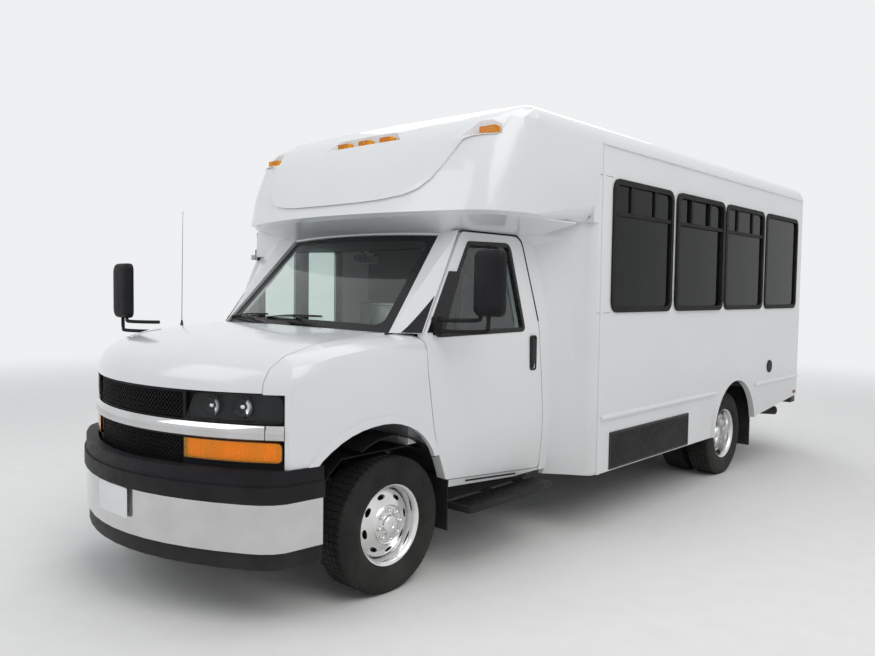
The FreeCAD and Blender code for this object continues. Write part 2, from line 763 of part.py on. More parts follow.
def hood_skin():
    """Skin swept round the nose's axis in flats, from the side curve and the same set inwards."""
    outer = list(hood_curve)
    inner = [(r - panel_thick, z - panel_thick * 0.9) for r, z in hood_curve]
    inner[0] = (inner[0][0], hood_curve[0][1])
    profile = outer + inner[::-1]
    turns = [nose_step * k for k in range(-18, 19)]
    return skin_between([[Vec(*ring_point(r, turn), z) for r, z in profile] for turn in turns])


def rear_edge(side_station, middle_station, half, chords=10):
    """Points along the bowed rear edge, from left to right."""
    shares = [1 - 2.0 * k / chords for k in range(chords + 1)]
    return [(middle_station + (side_station - middle_station) * f * f, half * f, 0) for f in shares]


def hood_plan():
    """Plan outline of the hood; the rear edge is bowed along the windscreen's foot."""
    rear = rear_edge(hood_rear_side, hood_rear_middle, hood_half_width)
    return slab(rear + [(1100, -hood_half_width, 0), (1100, hood_half_width, 0)], "xy", 1000, 1500)


def hood():
    """Skin with an eye at each rear corner for the hinges under the pillars."""
    eyes = []
    for side in (1, -1):
        arm = [(hood_hinge_station - 12, 1346, 0), (hood_hinge_station + 60, 1346, 0),
               (hood_hinge_station + 60, 1382, 0), (hood_hinge_station + 24, 1370, 0),
               (hood_hinge_station - 12, 1370, 0)]
        eyes.append(slab(arm, "xz", side * 812.3, side * 824))
    return fuse(hood_skin().common(hood_plan()), *eyes)


save("hood", hood())

# Fender: sections across the vehicle, each from the side skin up to the hood's edge.
# Columns are station, side distance, shoulder height and height at the hood.
fender_sections = [(-385, 990, 1302, 1384), (150, 990, 1268, 1377), (420, 980, 1225, 1350),
                   (620, 948, 1165, 1297), (760, 923, 1100, 1222)]
fender_inner = hood_half_width + clearance
fender_foot = 560.0


def fender_loft(inset):
    """Skin through the sections; its shoulder is rounded in three flats."""
    loops = []
    for station, side, shoulder, top in fender_sections:
        out = side - inset
        width, rise = out - fender_inner, top - inset - shoulder
        bend = [(out, shoulder), (fender_inner + 0.86 * width, shoulder + 0.52 * rise),
                (fender_inner + 0.5 * width, shoulder + 0.87 * rise), (fender_inner, top - inset)]
        points = [Vec(station, out, fender_foot)] + [Vec(station, y, z) for y, z in bend]
        points.append(Vec(station, fender_inner, fender_foot))
        loops.append(points)
    return skin_between(loops)


fender_wall = 20.0
lamp_outer = 915.0               # outer end of the headlamps
nose_back = nose_radius - 60
nose_top = 1124.0                # top of the grille and lamp surround
cover_top = 770.0                # top of the bumper's black cover
# Wheel opening in side view: two quarter ellipses that meet at the top, longer towards the front
opening_station, opening_height = 90.0, 600.0
opening_rise, opening_ahead, opening_behind = 328.0, 491.0, 408.0
opening_sides = 20
lip_width = 42.0
lip_proud = 9.0


def wheel_opening(grow):
    """Side view of the opening, grown by a margin and closed below the sill."""
    points = []
    for k in range(opening_sides + 1):
        turn = math.pi * k / opening_sides
        reach = opening_ahead if k <= opening_sides / 2 else opening_behind
        points.append((opening_station + (reach + grow) * math.cos(turn),
                       opening_height + (opening_rise + grow) * math.sin(turn), 0))
    return points + [(points[-1][0] - 230, 400, 0), (points[0][0], 400, 0)]


def nose_volume(inset):
    """Everything inside the nose: the hood's curve swept round the upright axis."""
    curve = [(0, 400), (nose_radius - inset, 400)]
    curve += [(r - inset, z - inset) for r, z in hood_curve] + [(0, hood_curve[-1][1] - inset)]
    turns = [nose_step * k for k in range(2, 19)]
    return skin_between([[Vec(*ring_point(max(r, 1.0), turn), z) for r, z in curve] for turn in turns])


def fender():
    """Outer skin with a raised lip round the wheel opening, cut to the nose, the bumper and the door."""
    outer = fender_loft(0).common(nose_volume(0).fuse(box(-500, 300, 700, 1100, 400, 1500)))
    inner = fender_loft(fender_wall).common(nose_volume(fender_wall).fuse(box(-500, 260, 700, 1100, 400, 1500)))
    skin = outer.cut(inner.translated(Vec(0, 0, -1)))
    lip = slab(wheel_opening(lip_width), "xz", 700, 1100).common(
        fender_loft(-lip_proud)).cut(fender_loft(4)).cut(box(-900, 900, 700, 1100, 300, 706))
    skin = skin.fuse(lip)
    skin = skin.cut(sector(nose_back - 1, nose_radius + 60, 600, nose_top + seat_gap,
                           600, lamp_outer + 8 + seat_gap))
    skin = skin.cut(box(440, 900, 700, 1100, 400, cover_top + seat_gap))
    skin = skin.cut(slab(wheel_opening(0), "xz", 700, 1100)).cut(box(-900, -200, 700, 1100, 300, 700))
    return skin.cut(slab([(u + clearance, v, r) for u, v, r in door_corners], "xz", 700, 1100))


save("fender_left", fender())
save("fender_right", mirrored(fender()))
right_mirror = fuse(right_mast, box(270, 330, 895, 960, 1290, 1345)).cut(fender_loft(-seat_gap))
save("mirror_right", mirrored(right_mirror))

# Windscreen: columns are half width, side station, middle station, side height, middle height
glass_foot = (800, -124, -72, 1372, 1388)
glass_head = (700, -656, -604, 1958, 1976)


def screen_line(edge, grow, back):
    """Points along the glass from left to right, moved back in their own plane."""
    half, side_x, middle_x, side_z, middle_z = edge
    setback = Vec(middle_x - side_x, 0, middle_z - side_z).normalize() * -back
    shares = [1 - k / 5.0 for k in range(11)]
    return [Vec(middle_x + (side_x - middle_x) * f * f, (half + grow) * f,
                middle_z + (side_z - middle_z) * f * f) + setback for f in shares]


def screen_solid(foot, head, grow, thick):
    """Raked, bowed pane between two lines."""
    return skin_between([screen_line(edge, grow, 0) + screen_line(edge, grow, thick)[::-1]
                         for edge in (foot, head)])


save("windshield", screen_solid(glass_foot, glass_head, 0, 9))

def prism_between(low, high):
    """Post between two flat sections; corners are (x, y, z)."""
    return skin_between([[Vec(*c) for c in low], [Vec(*c) for c in high]])


# Cowl between hood and windscreen, with the two wiper arms lying on it
cowl_half = 798.0
cowl_bottom = 1320.0


def cowl():
    """Black tray under the windscreen's foot; its top is crowned in flats."""
    front = rear_edge(hood_rear_side - 6, hood_rear_middle - 6, cowl_half)
    rear = rear_edge(glass_foot[1] - 14, glass_foot[2] - 14, cowl_half)
    crown = [(y, 1352 + 26 * (1 - (y / cowl_half) ** 2), 0) for y in (-cowl_half, -400, 0, 400, cowl_half)]
    top = slab(crown + [(cowl_half, cowl_bottom, 0), (-cowl_half, cowl_bottom, 0)], "yz", -300, 300)
    tray = slab(front + rear[::-1], "xy", 1200, 1500).common(top)
    arms = []
    for foot_y, tip_y in ((430, -60), (-160, -640)):
        arms.append(slab(polygon(8, 16, -40, foot_y), "xy", 1362, 1388))
        low = [(-36, foot_y, 1378), (-52, foot_y, 1378), (-52, foot_y, 1390), (-36, foot_y, 1390)]
        high = [(-78, tip_y, 1414), (-90, tip_y, 1414), (-90, tip_y, 1424), (-78, tip_y, 1424)]
        arms.append(prism_between(low, high))
    return fuse(tray, *arms).cut(screen_solid(glass_foot, glass_head, 4, 60))


save("cowl", cowl())

# Cab shell: firewall, floor, wheel houses, pillars, header and sills
cab_rear = seam_station + wall_thick + 40


def front_pillar():
    """Post between the windscreen and the door's front edge, with the hood's hinge plate at its foot."""
    low = [(-118, 803), (-219, 968), (-221, 913), (-300, 900), (-190, 803)]
    high = [(-645, 703), (-625, 868), (-640, 806), (-700, 796), (-740, 703)]
    post = prism_between([(x, y, 1388) for x, y in low], [(x, y, 1985) for x, y in high])
    foot = box(-230, -150, 803, 828, 1300, 1392)
    plate = box(-152, hood_hinge_station + 14, 803, 812, 1300, 1370)
    hinge_post = box(-280, -180, 820, 902, 770, 1345)
    head = box(-735, -665, 700, 806, 1975, 2035)
    rail = box(-1300, -665, 740, 806, 1985, 2035)
    return fuse(post, foot, plate, hinge_post, head, rail)


# Rear edge of the cab's side behind the door, where the flared wall starts: station and height
strip_edge = [(-1452, 430), (-1464, 620), (-1457, 800), (-1450, 1060), (-1418, 1290), (-1414, 1530),
              (-1402, 1740), (-1366, 1925), (-1300, 1989)]


def cab_shell():
    door_side = [(-1378, 430), (-1378, 470), (-1368, 800), (-1331, 1150), (-1310, 1433), (-1276, 1683),
                 (-1236, 1950), (-1200, 1984), (-1200, 1989)]
    rear_pillar = side_slab(0, 60, -1520, -1100).common(slab(
        [(x, z, 0) for x, z in door_side + strip_edge[::-1]], "xz", 700, 1100))
    sill = side_slab(8, 70, -1440, -440).common(slab(
        [(-446, 490, 0), (-446, 533, 0), (-1440, 449, 0), (-1440, 415, 0)], "xz", 700, 1100))
    firewall = box(-225, -195, -860, 860, 640, cowl_bottom - 20)
    shelf = box(-225, -100, -795, 795, cowl_bottom - 20, cowl_bottom - seat_gap)
    low = cab_floor_top - cab_floor_thick
    floor = fuse(box(cab_rear, -225, -620, 880, low, cab_floor_top),
                 box(step_front + 15.3, -225, -880, -600, low, cab_floor_top))
    tunnel = box(-760, -200, -360, 360, low, 1010)
    hole = box(-752, -150, -352, 352, 400, 1002)
    header = screen_solid((716, -640, -588, 1962, 1981), (716, -640, -588, 2030, 2040), 0, 95)
    header = header.cut(screen_solid(glass_foot, glass_head, 6, 12))
    floor_edge = box(-1440, -460, 860, 890, 500, cab_floor_top)
    seal = box(-360, -275, 880, 925.3, 900, 1000)
    pillar_head = box(-1284, -1240, 790, 870, 1960, 2035)
    left = fuse(rear_pillar, sill, floor_edge, front_pillar(), pillar_head, seal)
    shell = fuse(left, mirrored(front_pillar()), firewall, shelf, floor, tunnel, header).cut(hole)
    for side in (1, -1):
        shell = shell.cut(slab(wheel_house(0), "xz", side * 534, side * 1000))
    return shell.cut(screen_solid(glass_foot, glass_head, 3, 14))


def wheel_house(out):
    """Side view of the space for the steered wheel, grown by the liner's thickness."""
    return [(-470 - out, 200, 0), (-470 - out, 560, 0), (-330 - out, 720 + out, 0), (-180, 765 + out, 0),
            (300, 765 + out, 0), (440 + out, 650, 0), (440 + out, 200, 0)]


def wheel_liner():
    """Black liner over the steered wheel, open below and towards the outside."""
    body = slab(wheel_house(-seat_gap), "xz", 534, 950).cut(slab(wheel_house(-6), "xz", 540, 951))
    body = body.cut(box(-600, 600, 500, 1000, 0, 470)).cut(box(-600, 600, 500, 541, 0, 650))
    body = body.cut(box(-600, -200, 895, 1000, 400, 900))
    return body.cut(slab(wheel_opening(0), "xz", 900, 1100))


save("cab_shell", cab_shell())
save("wheel_liners", *both_sides(wheel_liner()))

# Front cap: level sections through the forehead. Columns are height, front at the middle,
# front at the corner's start, distance of that start off the middle, and where the side begins.
cap_sections = [(2085, -300, -480, 1010, -900),
                (2300, -430, -535, 1030, -930),
                (2520, -585, -630, 1040, -970),
                (2640, -690, -735, 1040, -1040),
                (2730, -850, -900, 1030, -1150),
                (2790, -1080, -1120, 1010, -1300)]
cap_foot = cap_sections[0][0]
cap_wall = 30.0


def bowed(start, bulge, finish, chords):
    """Points of a smooth bend from start to finish, pulled towards the bulge."""
    shares = [k / float(chords) for k in range(chords + 1)]
    return [start * (1 - f) ** 2 + bulge * (2 * f * (1 - f)) + finish * f * f for f in shares]


def cap_loop(height, middle, corner_x, corner_y, side_x, inset, width=body_half_width):
    """Level outline of the forehead: flat rear, straight sides, round corners and bowed front."""
    half = width - inset
    rear = seam_station + (1 if inset else 0)
    corner = Vec(corner_x - inset, corner_y - inset * 0.6, height)
    side = Vec(side_x, half, height)
    bulge = Vec(corner.x - 0.25 * (half - corner.y), half, height)
    front = Vec(2 * (middle - inset) - corner.x, 0, height)
    left = bowed(side, bulge, corner, 4)
    front_line = bowed(corner, front, Vec(corner.x, -corner.y, height), 8)
    right = [Vec(q.x, -q.y, q.z) for q in reversed(left)]
    return [Vec(rear, half, height)] + left + front_line[1:-1] + right + [Vec(rear, -half, height)]


def cap_volume(inset, sections):
    block = skin_between([cap_loop(*row, inset) for row in sections])
    return block.common(body_prism(inset, 1900, seam_station, 0))


def flare_loop(station, height, side):
    """Level outline of the flared wall from the cab's side out to the body's front corner, on the left."""
    start = side - 5
    outer = [(station - seat_gap, start), (-1545, 1085), (-1592, 1165), (-1612, 1200), (-1640, body_half_width),
             (seam_station, body_half_width)]
    inner = [(seam_station, inner_wall), (-1652, inner_wall), (-1640, 1165), (-1618, 1120), (-1568, 1040),
             (station - 24, start - 34), (station - seat_gap, start - 34)]
    return [Vec(x, y, height) for x, y in outer + inner]


def flare():
    """Flared wall behind the cab; its foot tucks in."""
    levels = [(x, z, y_at(z)) for x, z in strip_edge[1:]] + [(-1290, cap_foot, 862)]
    foot = [Vec(q.x, q.y - 12, 400) for q in flare_loop(strip_edge[0][0], 400, y_at(430))]
    return skin_between([foot, flare_loop(strip_edge[0][0], 430, y_at(430))] +
                        [flare_loop(x, z, y) for x, z, y in levels])


def y_at(height):
    """Half width of the cab's side at a height."""
    for (y0, z0), (y1, z1) in zip(side_outer, side_outer[1:]):
        if z0 <= height <= z1:
            return y0 + (y1 - y0) * (height - z0) / (z1 - z0)
    return side_outer[0][0]


# Underside of the cap, down to the head of the windscreen and the doors. Same columns as the
# cap's sections, with the half width first.
funnel_sections = [(905, 1998, -548, -590, 716, -760),
                   (1190, 2064, -335, -505, 998, -915),
                   (body_half_width, cap_sections[0][0] + 1, -300, -480, 1010, -900)]
funnel_wall = 24.0


def funnel():
    """Sloped underside, open inside; on the right it ends ahead of the entry wall."""
    def volume(inset):
        return skin_between([cap_loop(z + (inset and (-40 if z < 2000 else 30 if z > 2080 else 0)),
                                      middle, corner_x, corner_y, side_x, inset, half)
                             for half, z, middle, corner_x, corner_y, side_x in funnel_sections])
    shape = volume(0).cut(volume(funnel_wall))
    return shape.cut(box(-1700, -470, -1300, -700, 1900, cap_foot)).cut(
        box(-1700, -1403, -1300, 1300, 1900, cap_foot))


# Raised shield on the forehead; half of its outline from the middle to the corner pocket
shield_half = [(0, 2157), (300, 2161), (480, 2172), (610, 2192), (705, 2225), (776, 2280), (828, 2365),
               (864, 2449), (905, 2512), (960, 2527), (1120, 2529), (1120, 2700), (0, 2700)]
shield_rise = [14, 14, 13, 0, 0, 0]
pocket_floor = 2577.0
pocket_back = -702.0
corner_floor = 2532.0
corner_back = -722.0


def shield():
    raised = [(z, middle + up, corner_x + up, corner_y, side_x)
              for (z, middle, corner_x, corner_y, side_x), up in zip(cap_sections, shield_rise)]
    outline = shield_half + [(-y, z) for y, z in shield_half[-2:0:-1]]
    return cap_volume(0, raised).common(slab([(y, z, 0) for y, z in outline], "yz", -1000, 0))


def pocket(back, floor_z, half, middle_y, slope, grow):
    """Scoop for marker lamps with slanted ends, open to the front and above."""
    plan = [(back - grow, middle_y - half - grow, 0), (back - grow, middle_y + half + grow, 0),
            (back + 200, middle_y + half + slope + grow, 0), (back + 200, middle_y - half - slope - grow, 0)]
    return slab(plan, "xy", floor_z - grow, floor_z + 150)


def front_cap():
    outer = cap_volume(0, cap_sections)
    hollow = cap_volume(cap_wall, cap_sections[0::2] + cap_sections[-1:]).translated(Vec(0, 0, -cap_wall))
    floor_hole = box(seam_station - 1, -800, -870, 870, 2000, 2200)
    hollow = hollow.common(box(-3000, 0, -1300, 1300, cap_foot + cap_wall, 3000))
    scoops = [(pocket_back, pocket_floor, 262, 0, 300), (corner_back, corner_floor, 75, 1030, 150),
              (corner_back, corner_floor, 75, -1030, 150)]
    for back, floor_z, half, y, slope in scoops:
        hollow = hollow.cut(pocket(back, floor_z, half, y, slope, 25))
    shell = outer.fuse(shield()).cut(hollow)
    for back, floor_z, half, y, slope in scoops:
        shell = shell.cut(pocket(back, floor_z, half, y, slope, 0))
    lower = [Vec(-1570, 1250, 2205), Vec(-1570, 1219, 2195), Vec(-1570, 1194, 2135), Vec(-1570, 1120, 2060),
             Vec(-1570, 1250, 2060)]
    upper = [Vec(-900, 1250, 2085), Vec(-900, 1219, 2080), Vec(-900, 1216, 2074), Vec(-900, 1205, 2060),
             Vec(-900, 1250, 2060)]
    roll = skin_between([lower, upper])
    lining = skin_between([[q + Vec(0, -42, 34) for q in lower], [q + Vec(0, -42, 34) for q in upper]])
    lining = lining.common(outer).cut(box(-3000, 0, -1300, 1300, 1900, cap_foot))
    shell = shell.fuse(lining).fuse(funnel()).cut(roll)
    return fuse(shell.cut(floor_hole), flare())


cap = front_cap()
save("front_cap", cap)

# Nose: grille, chrome bar, lamps and surround, all sectors of one ring
grille_half = 440.0
bar_low, bar_high = 905.0, 980.0
upper_low, upper_high = 985.0, 1122.0
lower_low, lower_high = 712.0, 900.0
lamp_low, lamp_high = 986.0, 1120.0
turn_low, turn_high = 800.0, 898.0


def grille():
    """Black surround with two meshed openings, as crossed bars on a backing."""
    surround = sector(nose_back, nose_radius - 14, 700, nose_top, -lamp_outer - 8, lamp_outer + 8)
    pockets = [sector(nose_back + 14, nose_radius, upper_low, upper_high - 8, -grille_half + 12, grille_half - 12),
               sector(nose_back + 14, nose_radius, lower_low + 14, lower_high - 6, -grille_half + 12, grille_half - 12)]
    for y0, y1 in ((grille_half + 8, lamp_outer), (-lamp_outer, -grille_half - 8)):
        pockets.append(sector(nose_back + 20, nose_radius, lamp_low, lamp_high, y0, y1))
        pockets.append(sector(nose_back + 20, nose_radius, turn_low, turn_high, y0, y1))
    pockets.append(sector(nose_back + 20, nose_radius, bar_low, bar_high, -lamp_outer - 20, lamp_outer + 20))
    for pocket in pockets:
        surround = surround.cut(pocket)
    slats = []
    for low in (1018, 1052, 1086, 757, 800, 843):
        slats.append(sector(nose_back + 8, nose_radius - 22, low, low + 8, -grille_half + 6, grille_half - 6))
    return fuse(surround, *slats)


save("grille", grille())
save("grille_bar", sector(nose_back + 20.3, nose_radius + 12, bar_low + 1, bar_high - 1,
                          -lamp_outer - 8, lamp_outer + 8))
save("headlamps", *both_sides(sector(nose_back + 20.3, nose_radius + 2, lamp_low + 0.5, lamp_high - 0.5,
                                     grille_half + 9, lamp_outer - 1)))
save("turn_lamps", *both_sides(sector(nose_back + 20.3, nose_radius + 2, turn_low + 0.5, turn_high - 0.5,
                                      grille_half + 9, lamp_outer - 1)))

# Bumper in plan: bowed front, tight corner and a straight end each side
bumper_ends = [(477, 985), (640, 968), (745, 935), (835, 830)]


def bumper_line(drop):
    """Outer line of the bumper from the left end to the right one, moved inwards."""
    end = Vec(bumper_ends[0][0], bumper_ends[0][1] - drop, 0)
    a = Vec(bumper_ends[1][0] - drop * 0.1, bumper_ends[1][1] - drop, 0)
    b = Vec(bumper_ends[2][0] - drop * 0.6, bumper_ends[2][1] - drop * 0.8, 0)
    c = Vec(bumper_ends[3][0] - drop, bumper_ends[3][1] - drop * 0.6, 0)
    pull = b * 2 - (a + c) * 0.5
    middle = Vec(2 * (nose_station - drop) - c.x, 0, 0)
    left = [end] + bowed(a, pull, c, 4)
    front = bowed(c, middle, Vec(c.x, -c.y, 0), 12)
    return left + front[1:-1] + [Vec(q.x, -q.y, 0) for q in reversed(left)]


def bumper_plan(inset, depth, z0, z1):
    loop = bumper_line(inset) + bumper_line(inset + depth)[::-1]
    return slab([(q.x, q.y, 0) for q in loop], "xy", z0, z1)


cover = bumper_plan(0, 95, 617, 698).fuse(bumper_plan(10, 60, 698, cover_top))
cover = cover.cut(sector(nose_back - 200, nose_radius + 1, 690, 780, -lamp_outer - 8.3, lamp_outer + 8.3))
irons = both_sides(box(860 + seat_gap, 990, 380, 440, 470, 560))
save("bumper_cover", cover.removeSplitter(), bumper_plan(22, 28, 300, 380 - seat_gap))
save("bumper_chrome", fuse(bumper_plan(14, 18, 380, 617 - seat_gap), *irons))

# Right side of the cap: a wall with the entry opening and a slanted return to the cab
entry_hinge_y = -body_half_width - 12
entry_hinge_levels = (640, 1240, 1880)
return_edge = [(seam_station, 400), (-560, 400), (-480, 700), (-480, 1300), (-560, 1623), (-700, 1936),
               (-780, cap_foot - seat_gap), (seam_station, cap_foot - seat_gap)]

# The return from the wall to the cab; columns are height, then station and y at the wall and at the cab
return_levels = [(660, -480, -1192, -400, -982), (790, -480, -1192, -352, -990),
                 (1150, -480, -1192, -272, -990), (1300, -480, -1192, -270, -989),
                 (1386, -502, -1192, -268, -980), (1623, -560, -1192, -412, -931),
                 (1780, -630, -1179, -507, -904), (1936, -700, -1179, -602, -877),
                 (cap_foot - seat_gap, -782, -1179, -702, -855)]


def entry_surround():
    y0, y1 = -body_half_width, -(body_half_width - wall_thick)
    wall = slab([(u, v, 0) for u, v in return_edge], "xz", y0, y1)
    opening = rectangle(entry_rear - clearance, entry_front + clearance, entry_bottom - 60,
                        entry_top + clearance, 0)
    wall = wall.cut(slab(opening, "xz", y0 - 1, y1 + 1))
    loops = []
    for z, wall_x, wall_y, cab_x, cab_y in return_levels:
        loops.append([Vec(wall_x, wall_y, z), Vec(cab_x, cab_y, z), Vec(cab_x - 4, cab_y + 22, z),
                      Vec(wall_x - 22, wall_y, z)])
    eyes = []
    for level in entry_hinge_levels:
        for x, side in ((entry_front, 1), (entry_rear, -1)):
            eyes.append(slab(polygon(8, hinge_radius, x, entry_hinge_y), "xy", level - hinge_height, level))
            eyes.append(box(x + side * 2, x + side * 45, entry_hinge_y - 3, y0,
                            level - hinge_height, level))
    return fuse(wall, skin_between(loops), *eyes)


save("entry_surround", entry_surround())
leaf_middle = (entry_front + entry_rear) / 2
leaf_light = 60.0


def entry_leaf(x0, x1, hinge_x, side):
    leaf = box(x0, x1, -body_half_width, -body_half_width + leaf_thick, entry_bottom, entry_top)
    light = slab(rectangle(x0 + leaf_light, x1 - leaf_light, entry_bottom + 150, entry_top - 90, 50),
                 "xz", -1300, -1100)
    eyes = []
    for level in entry_hinge_levels:
        low = level + seat_gap
        eyes.append(slab(polygon(8, hinge_radius, hinge_x, entry_hinge_y), "xy", low, low + hinge_height))
        eyes.append(box(hinge_x - side * 2, hinge_x - side * 45, entry_hinge_y - 3, -body_half_width,
                        low, low + hinge_height))
    return fuse(leaf.cut(light), *eyes)


def leaf_glass(x0, x1):
    y = -body_half_width + leaf_thick / 2
    return slab(rectangle(x0 + leaf_light + seat_gap, x1 - leaf_light - seat_gap,
                          entry_bottom + 150 + seat_gap, entry_top - 90 - seat_gap, 50),
                "xz", y - 3, y + 3)


# Columns: name, rear and front edge, hinge station, and which way the wall lies from the hinge
leaf_spans = [("front", leaf_middle + clearance, entry_front, entry_front, 1),
              ("rear", entry_rear, leaf_middle - clearance, entry_rear, -1)]
for name, x0, x1, hinge_x, side in leaf_spans:
    save("entry_leaf_" + name, entry_leaf(x0, x1, hinge_x, side))
    save("entry_glass_" + name, leaf_glass(x0, x1))

# Inside: dashboard, steering wheel, seats and grab rails
dash_corners = [(-240, 1020, 0), (-240, 1325, 0), (-420, 1330, 60), (-610, 1270, 60), (-560, 1020, 40)]
wheel_centre = Vec(-800, 430, 1190)
wheel_axis = Vec(-0.77, 0, 0.64)
wheel_radius = 195.0


def dashboard():
    top = slab(dash_corners, "xz", -790, 790)
    hood_over = slab([(-560, 1270, 0), (-560, 1350, 20), (-420, 1370, 30), (-380, 1320, 0)], "xz", 230, 630)
    foot = wheel_centre - wheel_axis * 300
    column = bar(tuple(foot), tuple(wheel_centre - wheel_axis * (40 + seat_gap)), 38)
    console = box(-560, -300, -250, 250, 1010 + seat_gap, 1060)
    return fuse(top, hood_over, column, console)


save("dashboard", dashboard())


def steering_wheel():
    ring = slab(polygon(24, wheel_radius + 14), "xy", -13, 13).cut(
        slab(polygon(24, wheel_radius - 14), "xy", -14, 14))
    hub = slab(polygon(12, 62), "xy", -40, 0)
    spokes = [box(-wheel_radius, wheel_radius, -16, 16, -14, 2), box(-16, 16, -wheel_radius, 0, -14, 2)]
    wheel = fuse(ring, hub, *spokes)
    tilt = math.degrees(math.atan2(-wheel_axis.x, wheel_axis.z))
    wheel.rotate(Vec(0, 0, 0), Vec(0, 1, 0), -tilt)
    return wheel.translated(wheel_centre)


save("steering_wheel", steering_wheel())


def seat(x, y0, y1, cushion_top, back_top, depth, leg_y, floor):
    """Bench with a rounded cushion, a leaning back and a pedestal."""
    cushion = slab([(x, cushion_top - 110, 0), (x + depth, cushion_top - 120, 0),
                    (x + depth, cushion_top, 45), (x, cushion_top, 0)], "xz", y0, y1)
    back = slab([(x - 10, cushion_top - 90, 0), (x + 90, cushion_top - 60, 0), (x + 20, back_top, 50),
                 (x - 90, back_top, 50)], "xz", y0, y1)
    legs = [box(x + 60, x + depth - 90, y, y + 40, floor, cushion_top - 100) for y in leg_y]
    return fuse(cushion, back, *legs)


seat_rows = [-2450, -3180, -3910, -4640]
seats = [seat(-1420, 200, 700, 990, 1740, 460, [260, 600], cab_floor_top + seat_gap)]
for station in seat_rows:
    for shape in both_sides(seat(station, 290, 1130, floor_top + 440, floor_top + 1010, 430,
                                 [330, 520], floor_top + seat_gap)):
        seats.append(shape)
save("seats", *seats)


def grab_rails():
    """Stanchions from floor to ceiling beside the aisle, each with a partition panel."""
    rails = []
    for side in (1, -1):
        low = floor_top + seat_gap
        rails.append(fuse(bar((-1720, side * 420, low), (-1720, side * 420, 2740), 17),
                          bar((-1720, side * 420, 1500), (-1720, side * 1183, 1500), 17),
                          box(-1728, -1712, side * 430, side * 1183, 900, 1490)))
    return rails


save("grab_rails", *grab_rails())

# Running board, mud flaps, black side panel, filler, lamps and rear bumper
board_front, board_rear = -470.0, -1310.0
board = slab([(board_front, 945, 0), (board_front, 1120, 25), (board_rear, 1120, 25), (board_rear, 945, 0)],
             "xy", 362, 400)
brackets = [box(x - 25, x + 25, rail_outer + seat_gap, 950, 372, 392) for x in (-900, -1240)]
drops = [box(x - 25, x + 25, rail_outer + seat_gap, rail_outer + 14, 390, 560) for x in (-900, -1240)]
save("running_board", fuse(board, *brackets, *drops))

flap_front = fuse(box(-463.7, -455.7, 770, 890, 236, 552), box(-463.7, -455.7, 885, 955, 236, 530))
flap_rear = box(arch_station - arch_radius - 40, arch_station - arch_radius - 28, 690, 1175, 190,
                floor_top - floor_thick - seat_gap)
save("mud_flaps", *both_sides(flap_front), *both_sides(flap_rear))

skirt = slab([(-1835, 408, 8), (-3093, 408, 8), (-3093, 667, 8), (-1835, 667, 8)], "xz",
             body_half_width, body_half_width + 5)
filler = slab(polygon(20, 60, -4919, 927), "xz", body_half_width, body_half_width + 10)
save("side_panels", skirt, filler)

markers = []
for y in (0, 205, -205):
    markers.append(box(pocket_back + seat_gap, pocket_back + 55, y - 48, y + 48, pocket_floor + 4, pocket_floor + 36))
for y in (1030, -1030):
    markers.append(box(corner_back + seat_gap, corner_back + 50, y - 55, y + 55, corner_floor + 18, corner_floor + 52))
save("marker_lamps", *markers)

tails = []
for y, z in ((1090, 1010), (1090, 1160), (1090, 1310)):
    tails += both_sides(slab(polygon(16, 52, y, z), "yz", rear_face - 18, rear_face))
save("tail_lamps", *tails)

rear_bumper = slab(rectangle(-1150, 1150, 470, 560, 10), "yz", tail_station, tail_station + 110)
irons = both_sides(box(tail_station + 110, -5740 - seat_gap, rail_inner, rail_outer, 480, 550))
plate_holes = both_sides(rod((tail_station - 1, plate_hole_pitch / 2, 515),
                             (tail_station + 111, plate_hole_pitch / 2, 515), 3.5))
save("rear_bumper", fuse(rear_bumper, *irons).cut(Part.makeCompound(plate_holes)))
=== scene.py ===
import bmesh
import bpy
import json
import math
from mathutils import Matrix, Vector
from mathutils.bvhtree import BVHTree

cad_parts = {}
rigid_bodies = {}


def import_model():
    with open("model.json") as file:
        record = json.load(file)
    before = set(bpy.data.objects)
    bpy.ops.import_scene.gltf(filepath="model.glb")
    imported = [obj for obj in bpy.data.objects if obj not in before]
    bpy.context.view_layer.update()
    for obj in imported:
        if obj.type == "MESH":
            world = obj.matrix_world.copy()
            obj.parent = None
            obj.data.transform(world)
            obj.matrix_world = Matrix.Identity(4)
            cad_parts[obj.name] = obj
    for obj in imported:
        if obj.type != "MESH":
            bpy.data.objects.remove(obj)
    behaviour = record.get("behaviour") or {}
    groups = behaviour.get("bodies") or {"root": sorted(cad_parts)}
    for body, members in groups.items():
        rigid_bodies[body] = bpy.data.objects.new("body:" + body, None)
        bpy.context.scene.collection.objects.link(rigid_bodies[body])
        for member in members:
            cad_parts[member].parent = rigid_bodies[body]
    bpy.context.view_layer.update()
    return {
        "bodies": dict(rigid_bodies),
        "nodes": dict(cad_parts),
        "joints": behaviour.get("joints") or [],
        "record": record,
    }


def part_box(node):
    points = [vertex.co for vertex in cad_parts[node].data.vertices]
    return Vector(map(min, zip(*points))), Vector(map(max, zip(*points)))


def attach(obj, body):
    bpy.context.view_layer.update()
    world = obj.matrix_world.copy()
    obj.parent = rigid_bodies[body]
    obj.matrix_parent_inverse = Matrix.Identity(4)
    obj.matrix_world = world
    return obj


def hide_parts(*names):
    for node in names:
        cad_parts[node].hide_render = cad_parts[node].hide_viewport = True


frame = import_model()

scene = bpy.context.scene
record = frame["record"]
nodeObjects = frame["nodes"]

bodyOfNode = {node: body for body, nodes in record["behaviour"]["bodies"].items() for node in nodes}
slotOfNode = {part["node"]: part["material_slot"] for part in record["subparts"]}

